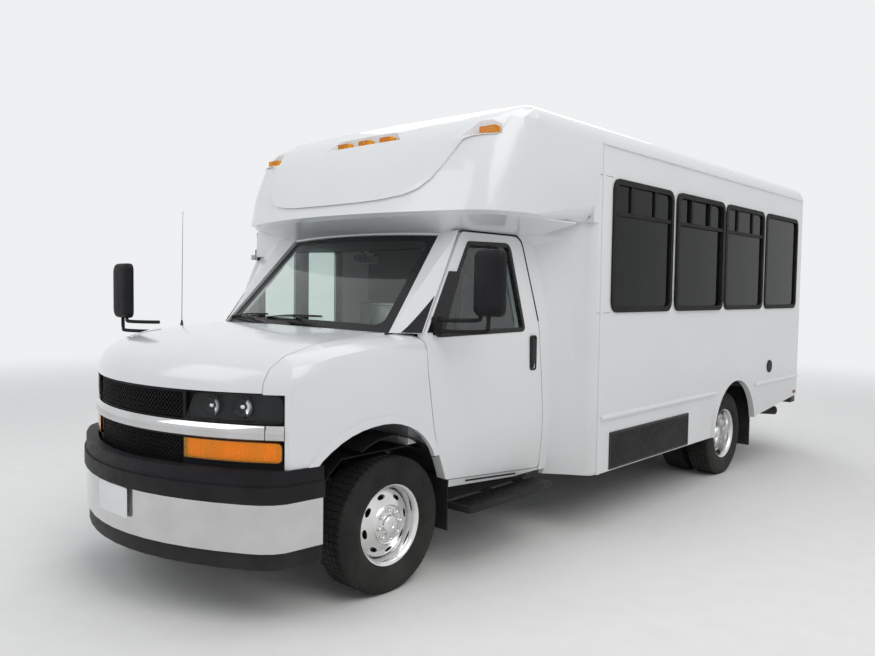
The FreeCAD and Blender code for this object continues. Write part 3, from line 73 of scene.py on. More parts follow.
tyreLow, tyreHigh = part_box("front_tyre_left")
frontAxle = (tyreLow[0] + tyreHigh[0]) / 2        # x of the front axle, where the stations below start
hubHeight = (tyreHigh[2] + tyreLow[2]) / 2
rearLow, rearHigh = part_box("rear_tyres_left")
rearAxle = (rearLow[0] + rearHigh[0]) / 2

print("stage 1: camera and light")

cameraSetup = {
    "place": (5.3205, 3.8746, 1.6315),
    "yaw": -2.40816, "pitch": -0.04955, "roll": 0.01367,
    "lens": 31.92, "sensor": 36.0, "clip": 200,
}


def addCamera(setup):
    yaw, pitch, roll = setup["yaw"], setup["pitch"], setup["roll"]
    ahead = Vector((math.cos(yaw) * math.cos(pitch), math.sin(yaw) * math.cos(pitch), math.sin(pitch)))
    right = ahead.cross(Vector((0, 0, 1))).normalized()
    up = right.cross(ahead)
    tiltedRight = math.cos(roll) * right + math.sin(roll) * up
    tiltedUp = math.cos(roll) * up - math.sin(roll) * right
    data = bpy.data.cameras.new("photoCamera")
    data.lens, data.sensor_width, data.clip_end = setup["lens"], setup["sensor"], setup["clip"]
    camera = bpy.data.objects.new("photoCamera", data)
    turn = Matrix((tiltedRight, tiltedUp, -ahead)).transposed()
    camera.matrix_world = Matrix.Translation(setup["place"]) @ turn.to_4x4()
    scene.collection.objects.link(camera)
    scene.camera = camera


lightSetup = {
    "worldStrength": 0.42, "worldColour": (0.93, 0.96, 1.0, 1), "seenColour": (0.86, 0.87, 0.88, 1),
    "lamps": [
        # place, watts, size, colour
        ((3.5, 7.5, 8.5), 340, 7.0, (1.0, 0.985, 0.96)),
        ((9.5, -2.5, 6.5), 190, 6.0, (0.96, 0.98, 1.0)),
        ((-7.5, -6.0, 7.0), 230, 7.0, (0.97, 0.98, 1.0)),
        ((-1.0, 0.5, 11.0), 250, 9.0, (1.0, 1.0, 1.0)),
    ],
}


def addNode(tree, kind, inputs, **settings):
    # each input takes a value or another node's output
    node = tree.nodes.new(kind)
    for name, value in settings.items():
        setattr(node, name, value)
    for name, value in inputs.items():
        if isinstance(value, bpy.types.NodeSocket):
            tree.links.new(value, node.inputs[name])
        else:
            node.inputs[name].default_value = value
    return node


def mathNode(tree, operation, *values):
    return addNode(tree, "ShaderNodeMath", dict(enumerate(values)), operation=operation).outputs[0]


def seenRays(tree):
    # 1 for the rays that see the backdrop, straight, mirrored or through glass
    rays = addNode(tree, "ShaderNodeLightPath", {}).outputs
    seen = mathNode(tree, "MAXIMUM", rays["Is Camera Ray"], rays["Is Glossy Ray"])
    return mathNode(tree, "MAXIMUM", seen, rays["Is Transmission Ray"])


def addLight(setup):
    world = bpy.data.worlds.new("softStudio")
    scene.world = world
    world.use_nodes = True
    tree = world.node_tree
    lit = tree.nodes["Background"]
    lit.inputs["Color"].default_value = setup["worldColour"]
    lit.inputs["Strength"].default_value = setup["worldStrength"]
    seen = addNode(tree, "ShaderNodeBackground", {"Color": setup["seenColour"]})
    mix = addNode(tree, "ShaderNodeMixShader", {"Fac": seenRays(tree), 1: lit.outputs[0], 2: seen.outputs[0]})
    tree.links.new(mix.outputs[0], tree.nodes["World Output"].inputs["Surface"])
    for number, (place, watts, size, colour) in enumerate(setup["lamps"]):
        data = bpy.data.lights.new("softLamp%d" % number, "AREA")
        data.energy, data.size, data.color = watts, size, colour
        lamp = bpy.data.objects.new(data.name, data)
        lamp.location = place
        lamp.rotation_euler = (Vector((0, 0, 1)) - Vector(place)).to_track_quat("-Z", "Y").to_euler()
        scene.collection.objects.link(lamp)


addCamera(cameraSetup)
addLight(lightSetup)
scene.view_settings.view_transform = "Standard"

print("stage 2: finishes and floor")

dustColour = (0.45, 0.42, 0.37)


def startMaterial(name, colour, roughness, **values):
    # values are the shader's other inputs, with their names' words joined
    material = bpy.data.materials.new(name)
    material.use_nodes = True
    shader = material.node_tree.nodes["Principled BSDF"]
    shader.inputs["Base Color"].default_value = (*colour, 1)
    shader.inputs["Roughness"].default_value = roughness
    for key, value in values.items():
        shader.inputs[key.replace("_", " ")].default_value = value
    return material, material.node_tree, shader.inputs


def objectPlace(tree):
    return addNode(tree, "ShaderNodeTexCoord", {}).outputs["Object"]


def objectNoise(tree, scale, detail=3.0):
    inputs = {"Vector": objectPlace(tree), "Scale": scale, "Detail": detail}
    return addNode(tree, "ShaderNodeTexNoise", inputs).outputs["Fac"]


def spread(tree, source, low, high, start=0.3, end=0.7, **settings):
    inputs = {"Value": source, "From Min": start, "From Max": end, "To Min": low, "To Max": high}
    return addNode(tree, "ShaderNodeMapRange", inputs, **settings).outputs["Result"]


def blendColours(tree, inputs, first, other, amount):
    mix = addNode(tree, "ShaderNodeMix", {}, data_type="RGBA")
    for name, value in (("A", first), ("B", (*other, 1)), ("Factor", amount)):
        if isinstance(value, tuple):
            mix.inputs[name].default_value = value
        else:
            tree.links.new(value, mix.inputs[name])
    tree.links.new(mix.outputs["Result"], inputs["Base Color"])
    return mix.outputs["Result"]


def addBump(tree, inputs, source, height):
    bump = addNode(tree, "ShaderNodeBump", {"Strength": 1.0, "Distance": height, "Height": source})
    tree.links.new(bump.outputs["Normal"], inputs["Normal"])


def addGrain(tree, inputs, scale, height):
    addBump(tree, inputs, objectNoise(tree, scale, 2.0), height)


def addTint(tree, inputs, colour, other, scale):
    amount = spread(tree, objectNoise(tree, scale, 4), 0, 1, 0.35, 0.65)
    return blendColours(tree, inputs, (*colour, 1), other, amount)


def addDust(tree, inputs, tinted, top, bottom, most):
    # road dust that thickens towards the ground
    parts = addNode(tree, "ShaderNodeSeparateXYZ", {0: objectPlace(tree)})
    depth = spread(tree, parts.outputs["Z"], 0, most, top, bottom)
    patches = spread(tree, objectNoise(tree, 3.0, 5), 0.35, 1.0, 0.35, 0.65)
    blendColours(tree, inputs, tinted, dustColour, mathNode(tree, "MULTIPLY", depth, patches))


def glossyPaint(name, colour, other, roughness, dusty=0.22):
    material, tree, inputs = startMaterial(name, colour, roughness, Coat_Weight=0.6, Coat_Roughness=0.06)
    addDust(tree, inputs, addTint(tree, inputs, colour, other, 1.3), 0.95, 0.3, dusty)
    addGrain(tree, inputs, 90, 0.00002)
    return material


def mouldedPlastic(name, colour, other, roughness, grain=(700, 0.0002), dusty=0.25, shine=0.14):
    material, tree, inputs = startMaterial(name, colour, roughness, Specular_IOR_Level=shine)
    addDust(tree, inputs, addTint(tree, inputs, colour, other, 6.0), 0.75, 0.15, dusty)
    smears = spread(tree, objectNoise(tree, 30), roughness - 0.06, roughness + 0.08)
    tree.links.new(smears, inputs["Roughness"])
    addGrain(tree, inputs, *grain)
    return material


def brightMetal(name, colour, other, roughness, grain):
    material, tree, inputs = startMaterial(name, colour, roughness, Metallic=1.0)
    addTint(tree, inputs, colour, other, 5.0)
    smears = spread(tree, objectNoise(tree, 14, 4), roughness * 0.7, roughness * 1.9)
    tree.links.new(smears, inputs["Roughness"])
    addGrain(tree, inputs, *grain)
    return material


def paneGlass(name, colour, transmission, roughness, shine, bending=1.45):
    material, tree, inputs = startMaterial(name, colour, roughness, Specular_IOR_Level=shine,
                                           Transmission_Weight=transmission, IOR=bending)
    addTint(tree, inputs, colour, tuple(c * 0.96 for c in colour), 2.0)
    addGrain(tree, inputs, 2.0, 0.00012)
    return material


def lampPlastic(name, colour, transmission, roughness, ribScale, bending):
    material, tree, inputs = startMaterial(name, colour, roughness, Coat_Weight=0.15,
                                           Transmission_Weight=transmission, IOR=bending)
    addTint(tree, inputs, colour, tuple(c * 0.97 for c in colour), 30)
    if ribScale:
        waves = {"Vector": objectPlace(tree), "Scale": ribScale}
        ribs = addNode(tree, "ShaderNodeTexWave", waves, bands_direction="Y")
        addBump(tree, inputs, ribs.outputs["Fac"], 0.0008)
    return material


def wovenCloth(name, colour, other, scale):
    material, tree, inputs = startMaterial(name, colour, 0.9, Sheen_Weight=0.25)
    cells = addNode(tree, "ShaderNodeTexVoronoi", {"Vector": objectPlace(tree), "Scale": scale})
    blendColours(tree, inputs, (*colour, 1), other, spread(tree, cells.outputs["Distance"], 1, 0, 0.1, 0.5))
    addGrain(tree, inputs, 1400, 0.0005)
    return material


whitePaint = glossyPaint("whitePaint", (0.80, 0.81, 0.82), (0.77, 0.785, 0.80), 0.22)
bodyWhite = glossyPaint("bodyWhite", (0.80, 0.81, 0.82), (0.775, 0.79, 0.80), 0.3, 0.16)
# colour, tint, roughness, scale and height of the grain, dust and shine
plastics = {name: mouldedPlastic(name, *values) for name, values in {
    "blackPlastic": ((0.011, 0.011, 0.0125), (0.017, 0.017, 0.019), 0.5, (700, 0.0002), 0.05),
    "smoothBlack": ((0.007, 0.007, 0.008), (0.010, 0.010, 0.011), 0.30, (900, 0.00003), 0.0, 0.3),
    "sealRubber": ((0.012, 0.012, 0.013), (0.02, 0.02, 0.02), 0.6, (500, 0.00015), 0.1),
    "tyreRubber": ((0.014, 0.014, 0.014), (0.024, 0.0235, 0.023), 0.72, (300, 0.0003), 0.06),
    "frameSteel": ((0.02, 0.02, 0.021), (0.06, 0.055, 0.05), 0.55, (120, 0.0004), 0.45),
    "castMetal": ((0.12, 0.12, 0.12), (0.2, 0.19, 0.18), 0.6, (220, 0.0006), 0.4),
    "lampHousing": ((0.012, 0.013, 0.014), (0.018, 0.019, 0.020), 0.3, (900, 0.00003), 0.0),
    "amberInside": ((1.0, 0.55, 0.04), (0.95, 0.46, 0.03), 0.25, (300, 0.0001), 0.0),
    "floorVinyl": ((0.09, 0.09, 0.09), (0.15, 0.15, 0.15), 0.6, (420, 0.0003), 0.2),
    "doorFrameBlack": ((0.015, 0.015, 0.016), (0.024, 0.024, 0.025), 0.35, (800, 0.00006), 0.15),
    "platePaint": ((0.84, 0.84, 0.85), (0.80, 0.80, 0.81), 0.4, (90, 0.0001), 0.2),
    "floorPaper": ((0.92, 0.915, 0.90), (0.90, 0.893, 0.88), 0.85, (26, 0.0006), 0.0, 0.1),
}.items()}
blackPlastic, smoothBlack, sealRubber, tyreRubber, frameSteel, amberInside, floorPaper = (plastics[name] for name in (
    "blackPlastic", "smoothBlack", "sealRubber", "tyreRubber", "frameSteel", "amberInside", "floorPaper"))
# colour, tint, roughness, scale and height of the grain
metals = {name: brightMetal(name, *values) for name, values in {
    "chrome": ((0.62, 0.62, 0.63), (0.56, 0.555, 0.55), 0.07, (120, 0.00002)),
    "lampMirror": ((0.93, 0.94, 0.95), (0.86, 0.87, 0.88), 0.22, (90, 0.0001)),
    "polishedSteel": ((0.78, 0.78, 0.79), (0.66, 0.65, 0.64), 0.13, (200, 0.00005)),
    "pipeSteel": ((0.060, 0.058, 0.055), (0.040, 0.036, 0.032), 0.5, (160, 0.0002)),
    "railSteel": ((0.56, 0.56, 0.57), (0.53, 0.53, 0.54), 0.3, (40, 0.00001)),
}.items()}
chrome, polishedSteel = metals["chrome"], metals["polishedSteel"]
darkGlass = paneGlass("darkGlass", (0.010, 0.012, 0.013), 0.60, 0.015, 0.5, 1.20)
clearGlass = paneGlass("clearGlass", (0.80, 0.88, 0.85), 1.0, 0.0, 0.5)
shadeGlass = paneGlass("shadeGlass", (0.10, 0.14, 0.13), 0.85, 0.02, 0.3)
lampLens = lampPlastic("lampLens", (0.97, 0.98, 0.99), 1.0, 0.0, 0, 1.12)
amberLens = lampPlastic("amberLens", (1.0, 0.50, 0.03), 0.7, 0.08, 0, 1.25)
redLens = lampPlastic("redLens", (0.42, 0.01, 0.012), 0.3, 0.15, 60, 1.4)
seatCloth = wovenCloth("seatCloth", (0.030, 0.036, 0.048), (0.045, 0.052, 0.066), 160)
# painted light: the reflectors behind the amber lenses get a faint glow, standing in for the extra light they catch
# beyond what the lamps here give
amberPaintedLight = {"Emission Color": (1.0, 0.46, 0.015, 1), "Emission Strength": 0.22}
for label, value in amberPaintedLight.items():
    amberInside.node_tree.nodes["Principled BSDF"].inputs[label].default_value = value

fadeForm = {"near": 5.5, "far": 15.0}


def fadeFloor():
    # far from the vehicle the floor takes the backdrop's colour, so that no horizon shows
    tree = floorPaper.node_tree
    reach = addNode(tree, "ShaderNodeVectorMath", {0: objectPlace(tree)}, operation="LENGTH").outputs["Value"]
    share = spread(tree, reach, 0, 1, fadeForm["near"], fadeForm["far"], interpolation_type="SMOOTHSTEP")
    glow = addNode(tree, "ShaderNodeEmission", {"Color": lightSetup["seenColour"]})
    blend = addNode(tree, "ShaderNodeMixShader", {
        "Fac": mathNode(tree, "MULTIPLY", share, seenRays(tree)),
        1: tree.nodes["Principled BSDF"].outputs["BSDF"], 2: glow.outputs["Emission"]})
    tree.links.new(blend.outputs["Shader"], tree.nodes["Material Output"].inputs["Surface"])


fadeFloor()

finishOfSlot = {
    "white_paint": whitePaint, "black_plastic": blackPlastic, "rubber": sealRubber, "dark_glass": darkGlass,
    "clear_glass": clearGlass, "bright_trim": chrome, "wheel_steel": polishedSteel, "tyre": tyreRubber,
    "frame_steel": frameSteel, "cast": plastics["castMetal"], "pipe_steel": metals["pipeSteel"],
    "lamp_lens": lampLens, "amber_lens": amberLens, "red_lens": redLens, "seat_cloth": seatCloth,
    "floor_vinyl": plastics["floorVinyl"], "door_frame_black": plastics["doorFrameBlack"],
    "rail_steel": metals["railSteel"],
}
for node, nodeObject in nodeObjects.items():
    for materialSlot in nodeObject.material_slots:
        materialSlot.material = finishOfSlot[slotOfNode[node]]

floorForm = {"half": 60.0, "steps": 24}


def addFloor():
    half, steps = floorForm["half"], floorForm["steps"]
    wide = steps + 1
    marks = [-half + 2 * half * k / steps for k in range(wide)]
    points = [(x, y, 0) for x in marks for y in marks]
    corners = [i * wide + j for i in range(steps) for j in range(steps)]
    faces = [(first, first + wide, first + wide + 1, first + 1) for first in corners]
    mesh = bpy.data.meshes.new("studioFloor")
    mesh.from_pydata(points, [], faces)
    mesh.materials.append(floorPaper)
    floor = bpy.data.objects.new("studioFloor", mesh)
    scene.collection.objects.link(floor)


addFloor()

print("stage 3: panels")


def addPiece(name, mesh, material, body, replaced=()):
    piece = bpy.data.objects.new(name, mesh)
    mesh.materials.clear()
    mesh.materials.append(material)
    scene.collection.objects.link(piece)
    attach(piece, body)
    if replaced:
        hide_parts(*replaced)
    return piece


def shadeByAngle(mesh, angle):
    mesh.polygons.foreach_set("use_smooth", [True] * len(mesh.polygons))
    mesh.set_sharp_from_angle(angle=math.radians(angle))


def addBevel(piece, width):
    bevel = piece.modifiers.new("softEdge", "BEVEL")
    bevel.width = width
    bevel.segments = 2
    bevel.limit_method = "ANGLE"
    bevel.angle_limit = math.radians(28)
    bevel.harden_normals = True
    bevel.use_clamp_overlap = True


# each panel keeps its solid's shape, with merged faces, edges eased by this width and smooth shading
panelEdges = {
    0.001: ("mud_flaps", "grab_rails"),
    0.0015: ("grille", "side_panels"),
    0.002: ("suspension", "steering_wheel", "body_floor"),
    0.003: ("body_side_left", "body_side_right", "rear_wall", "rear_door", "entry_leaf_front", "entry_leaf_rear",
            "window_frames", "rear_door_frame", "cowl", "wheel_liners", "exhaust"),
    0.004: ("body_roof", "entry_surround", "driver_door", "running_board", "rear_bumper", "chassis_frame",
            "rear_axle", "knuckle_left", "knuckle_right"),
    0.005: ("fender_left", "fender_right"),
    0.006: ("hood", "cab_shell", "bumper_chrome"),
    0.008: ("dashboard",),
    0.010: ("front_cap", "bumper_cover", "engine_block"),
    0.012: ("fuel_tank",),
}
bodyPanels = ("body_roof", "body_side_left", "body_side_right", "front_cap", "entry_surround", "rear_wall",
              "rear_door")


def softPanel(node, edge):
    mesh = nodeObjects[node].data.copy()
    mesh.name = node + "_panel"
    shape = bmesh.new()
    shape.from_mesh(mesh)
    bmesh.ops.remove_doubles(shape, verts=shape.verts, dist=0.00002)
    bmesh.ops.dissolve_limit(shape, angle_limit=math.radians(0.4), verts=shape.verts, edges=shape.edges)
    shape.to_mesh(mesh)
    shape.free()
    for attribute in ("custom_normal", "sharp_edge", "sharp_face"):
        if attribute in mesh.attributes:
            mesh.attributes.remove(mesh.attributes[attribute])
    shadeByAngle(mesh, 34)
    finish = bodyWhite if node in bodyPanels else finishOfSlot[slotOfNode[node]]
    addBevel(addPiece(node + "_panel", mesh, finish, bodyOfNode[node], (node,)), edge)


for edge, nodes in panelEdges.items():
    for node in nodes:
        softPanel(node, edge)

print("stage 4: shape makers")


def at(station):
    return frontAxle + station


def loft(rings, closed=True, capped=True):
    # skin through rings of equally many points; the ends are closed with flat faces
    count = len(rings[0])
    points = [tuple(point) for ring in rings for point in ring]
    faces = []
    for r in range(len(rings) - 1):
        for k in range(count if closed else count - 1):
            n = (k + 1) % count
            faces.append((r * count + k, r * count + n, (r + 1) * count + n, (r + 1) * count + k))
    if closed and capped:
        faces.append(tuple(reversed(range(count))))
        faces.append(tuple((len(rings) - 1) * count + k for k in range(count)))
    return points, faces


def joined(shapes):
    points, faces = [], []
    for shapePoints, shapeFaces in shapes:
        start = len(points)
        points += shapePoints
        faces += [tuple(start + index for index in face) for face in shapeFaces]
    return points, faces


def mirroredShape(shape):
    points, faces = shape
    return [(x, -y, z) for x, y, z in points], [tuple(reversed(face)) for face in faces]


def movedShape(shape, dx=0.0, dy=0.0, dz=0.0):
    return [(x + dx, y + dy, z + dz) for x, y, z in shape[0]], shape[1]


def bothSides(shape):
    return joined([shape, mirroredShape(shape)])


def onPlane(plane, u, v, depth):
    return {"xz": (u, depth, v), "xy": (u, v, depth), "yz": (depth, u, v)}[plane]


def roundedLoop(u0, u1, v0, v1, radius, steps=5):
    loop = []
    for cu, cv, start in ((u1 - radius, v0 + radius, -90), (u1 - radius, v1 - radius, 0),
                          (u0 + radius, v1 - radius, 90), (u0 + radius, v0 + radius, 180)):
        for k in range(steps + 1):
            turn = math.radians(start + 90 * k / steps)
            loop.append((cu + radius * math.cos(turn), cv + radius * math.sin(turn)))
    return loop


def insetLoop(box, inset, radius, steps=5):
    # box is lowest and highest u, lowest and highest v
    u0, u1, v0, v1 = box
    return roundedLoop(u0 + inset, u1 - inset, v0 + inset, v1 - inset, radius, steps)


def slabOf(loop, plane, low, high):
    return loft([[onPlane(plane, u, v, depth) for u, v in loop] for depth in (low, high)])


def frameOf(outer, inner, plane, low, high):
    # flat ring between two loops of equally many points
    rings = [[onPlane(plane, u, v, depth) for u, v in loop]
             for loop, depth in ((outer, low), (outer, high), (inner, high), (inner, low), (outer, low))]
    return loft(rings, capped=False)


def blockOf(x0, x1, y0, y1, z0, z1):
    return slabOf([(x0, y0), (x1, y0), (x1, y1), (x0, y1)], "xy", z0, z1)


def smoothPath(points, steps):
    # passes through every point
    points = [Vector(point) for point in points]
    padded = [points[0] * 2 - points[1]] + points + [points[-1] * 2 - points[-2]]
    path = []
    for i in range(1, len(padded) - 2):
        a, b, c, d = padded[i - 1:i + 3]
        for k in range(steps):
            t = k / steps
            path.append(0.5 * (2 * b + (c - a) * t + (2 * a - 5 * b + 4 * c - d) * t * t
                               + (3 * b - a - 3 * c + d) * t * t * t))
    return path + [points[-1]]


def tubeOf(path, radius, sides=10, flat=1.0):
    # round bar along a path; flat squeezes it in height
    path = [Vector(point) for point in path]
    turns = [2 * math.pi * k / sides for k in range(sides)]
    rings = []
    for i, here in enumerate(path):
        along = (path[min(i + 1, len(path) - 1)] - path[max(i - 1, 0)]).normalized()
        across = along.cross(Vector((0, 0, 1)) if abs(along.z) < 0.95 else Vector((0, 1, 0))).normalized()
        over = across.cross(along)
        size = radius[i] if isinstance(radius, (list, tuple)) else radius
        rings.append([here + across * math.cos(t) * size + over * math.sin(t) * size * flat for t in turns])
    return loft(rings)


def turnedRound(profile, centre, sides=64, axis="y", looped=False):
    # turns (distance along, radius) corners about an axis; a looped profile makes a closed ring
    corners = list(profile) + ([profile[0]] if looped else [])
    cx, cy, cz = centre
    rings = []
    for along, radius in corners:
        ring = []
        for k in range(sides):
            turn = 2 * math.pi * k / sides
            u, v = radius * math.sin(turn), radius * math.cos(turn)
            ring.append({"y": (cx + u, cy + along, cz + v), "x": (cx + along, cy + u, cz + v),
                         "z": (cx + u, cy + v, cz + along)}[axis])
        rings.append(ring)
    return loft(rings, capped=not looped)


def meshOf(name, shape, angle=None):
    mesh = bpy.data.meshes.new(name)
    mesh.from_pydata(shape[0], [], shape[1])
    solid = bmesh.new()
    solid.from_mesh(mesh)
    bmesh.ops.remove_doubles(solid, verts=solid.verts, dist=0.00001)
    bmesh.ops.recalc_face_normals(solid, faces=solid.faces)
    solid.to_mesh(mesh)
    solid.free()
    if angle:
        shadeByAngle(mesh, angle)
    return mesh


def makePiece(name, shape, material, body="vehicle", replaced=(), angle=40, edge=0.0):
    piece = addPiece(name, meshOf(name, shape, angle), material, body, replaced)
    if edge:
        addBevel(piece, edge)
    return piece


def treeWith(name, inputs):
    tree = bpy.data.node_groups.new(name, "GeometryNodeTree")
    for label, kind in [("Geometry", "Geometry"), *inputs, ("Material", "Material")]:
        tree.interface.new_socket(label, in_out="INPUT", socket_type="NodeSocket" + kind)
    tree.interface.new_socket("Geometry", in_out="OUTPUT", socket_type="NodeSocketGeometry")
    return tree, tree.nodes.new("NodeGroupInput").outputs, addNode(tree, "GeometryNodeInputIndex", {}).outputs[0]


def finishTree(tree, given, geometry):
    # every tree ends in real geometry with its material
    inputs = {"Geometry": geometry, "Material": given["Material"]}
    finish = addNode(tree, "GeometryNodeSetMaterial", inputs)
    addNode(tree, "NodeGroupOutput", {0: finish.outputs[0]})
    return tree


def copiesOn(tree, given, count, place=None, turn=None):
    # real copies of the given geometry, each at its own place or turn
    points = addNode(tree, "GeometryNodePoints", {"Count": count, **({"Position": place} if place else {})})
    inputs = {"Points": points.outputs[0], "Instance": given["Geometry"], **({"Rotation": turn} if turn else {})}
    copies = addNode(tree, "GeometryNodeInstanceOnPoints", inputs)
    return addNode(tree, "GeometryNodeRealizeInstances", {0: copies.outputs[0]}).outputs[0]


def vectorOf(tree, inputs):
    return addNode(tree, "ShaderNodeCombineXYZ", inputs).outputs[0]


def gridPlace(tree, given, index):
    column = mathNode(tree, "MODULO", index, given["Columns"])
    row = mathNode(tree, "FLOOR", mathNode(tree, "DIVIDE", index, given["Columns"]))
    return column, row, mathNode(tree, "MULTIPLY", given["Columns"], given["Rows"])


def copiesRoundTree():
    tree, given, index = treeWith("copiesRound", [("Count", "Int"), ("Axle", "Vector"), ("First Turn", "Float")])
    step = mathNode(tree, "DIVIDE", 2 * math.pi, given["Count"])
    turn = mathNode(tree, "ADD", mathNode(tree, "MULTIPLY", index, step), given["First Turn"])
    rotation = addNode(tree, "FunctionNodeEulerToRotation", {0: vectorOf(tree, {"Y": turn})})
    copies = copiesOn(tree, given, given["Count"], turn=rotation.outputs[0])
    place = addNode(tree, "GeometryNodeTransform", {"Geometry": copies, "Translation": given["Axle"]})
    return finishTree(tree, given, place.outputs[0])


def copiesAlongTree():
    tree, given, index = treeWith("copiesAlong", [
        ("Columns", "Int"), ("Rows", "Int"), ("Column Step", "Vector"), ("Row Step", "Vector")])
    column, row, count = gridPlace(tree, given, index)
    moves = {}
    for number, (label, share) in enumerate((("Column Step", column), ("Row Step", row))):
        inputs = {0: given[label], "Scale": share}
        moves[number] = addNode(tree, "ShaderNodeVectorMath", inputs, operation="SCALE").outputs[0]
    total = addNode(tree, "ShaderNodeVectorMath", moves, operation="ADD")
    return finishTree(tree, given, copiesOn(tree, given, count, total.outputs[0]))


def latticeOnNoseTree():
    # a grid of cells is bent round the nose's upright axis
    tree, given, index = treeWith("latticeOnNose", [
        ("Columns", "Int"), ("Rows", "Int"), ("Pitch Across", "Float"), ("Pitch Up", "Float"), ("Lowest", "Float"),
        ("Radius", "Float"), ("Axis", "Float")])
    column, row, count = gridPlace(tree, given, index)
    half = mathNode(tree, "MULTIPLY", mathNode(tree, "SUBTRACT", given["Columns"], 1), 0.5)
    across = mathNode(tree, "MULTIPLY", mathNode(tree, "SUBTRACT", column, half), given["Pitch Across"])
    up = mathNode(tree, "ADD", mathNode(tree, "MULTIPLY", row, given["Pitch Up"]), given["Lowest"])
    flat = copiesOn(tree, given, count, vectorOf(tree, {"Y": across, "Z": up}))
    place = addNode(tree, "GeometryNodeInputPosition", {}).outputs[0]
    parts = addNode(tree, "ShaderNodeSeparateXYZ", {0: place}).outputs
    turn = mathNode(tree, "DIVIDE", parts["Y"], given["Radius"])
    reach = mathNode(tree, "ADD", given["Radius"], parts["X"])
    ahead = mathNode(tree, "MULTIPLY", reach, mathNode(tree, "COSINE", turn))
    aside = mathNode(tree, "MULTIPLY", reach, mathNode(tree, "SINE", turn))
    bent = vectorOf(tree, {"X": mathNode(tree, "ADD", ahead, given["Axis"]), "Y": aside, "Z": parts["Z"]})
    move = addNode(tree, "GeometryNodeSetPosition", {"Geometry": flat, "Position": bent})
    return finishTree(tree, given, move.outputs[0])


copiesRound, copiesAlong, latticeOnNose = copiesRoundTree(), copiesAlongTree(), latticeOnNoseTree()


def bakedMesh(name, shape, tree, settings, material, angle=34):
    # runs the node tree on a unit shape and returns the plain mesh
    source = bpy.data.objects.new(name + "_unit", meshOf(name + "_unit", shape, angle))
    scene.collection.objects.link(source)
    modifier = source.modifiers.new("copies", "NODES")
    modifier.node_group = tree
    names = {item.name: item.identifier for item in tree.interface.items_tree if item.in_out == "INPUT"}
    for label, value in {**settings, "Material": material}.items():
        modifier[names[label]] = value
    evaluated = source.evaluated_get(bpy.context.evaluated_depsgraph_get())
    mesh = bpy.data.meshes.new_from_object(evaluated)
    mesh.name = name
    source.modifiers.remove(modifier)
    bpy.data.objects.remove(source, do_unlink=True)
    return mesh


def repeatPiece(name, shape, tree, settings, material):
    return addPiece(name, bakedMesh(name, shape, tree, settings, material), material, "vehicle")


def repeatAlong(name, shape, count, step, material):
    # a row of copies, or a column where the step goes upwards
    settings = {"Columns": 1, "Rows": count, "Row Step": step}
    if not step[2]:
        settings = {"Columns": count, "Rows": 1, "Column Step": step}
    return repeatPiece(name, shape, copiesAlong, settings, material)


def joinedMesh(name, meshes):
    whole = bmesh.new()
    for mesh in meshes:
        whole.from_mesh(mesh)
    result = bpy.data.meshes.new(name)
    whole.to_mesh(result)
    whole.free()
    return result


def cutMesh(name, shape, cutter, angle):
    # the shape less the cutter, as a plain mesh
    target = bpy.data.objects.new(name + "_whole", meshOf(name + "_whole", shape))
    tool = bpy.data.objects.new(name + "_tool", cutter)
    for item in (target, tool):
        scene.collection.objects.link(item)
    cut = target.modifiers.new("cut", "BOOLEAN")
    cut.operation = "DIFFERENCE"
    cut.solver = "EXACT"
    cut.object = tool
    mesh = bpy.data.meshes.new_from_object(target.evaluated_get(bpy.context.evaluated_depsgraph_get()))
    mesh.name = name
    target.modifiers.remove(cut)
    for item in (target, tool):
        bpy.data.objects.remove(item, do_unlink=True)
    shadeByAngle(mesh, angle)
    return mesh


print("stage 5: wheels and tyres")

tyreForm = {"half": 0.1115, "beadHalf": 0.084, "beadRadius": 0.2062, "treadHalf": 0.088, "treadBase": 0.3598,
            "treadTop": 0.3676, "pitches": 60, "ribs": 5, "groove": 0.005, "skew": 0.004,
            # the wall from the bead outwards: distance inside the widest point and radius
            "wall": [(0.012, 0.228), (0.003, 0.250), (0.0005, 0.268), (0.002, 0.270), (0.0005, 0.285),
                     (0.0045, 0.312), (0.0035, 0.314), (0.008, 0.330)]}
frontCentre, outerCentre, innerCentre = 0.862, 1.045, 0.787
lugForm = {"count": 8, "ring": 0.079, "radius": 0.0115, "height": 0.021}
sideNames = [("left", 1), ("right", -1)]


def sided(shape, side):
    return shape if side > 0 else mirroredShape(shape)


def tyreBody(centre, bulging):
    form = tyreForm
    tread, bead = form["treadHalf"], form["beadHalf"]
    bulge = form["half"] if bulging else bead + 0.012
    outer = [(bead, form["beadRadius"])] + [(bulge - inset, radius) for inset, radius in form["wall"]]
    outer += [(tread + 0.008, 0.348), (tread + 0.002, 0.3575), (tread - 0.006, form["treadBase"])]
    if not bulging:
        outer = [(min(along, tread + 0.006), radius) for along, radius in outer]
    profile = outer + [(-along, radius) for along, radius in reversed(outer)]
    return turnedRound(profile, (0, centre, 0), 72, looped=True)


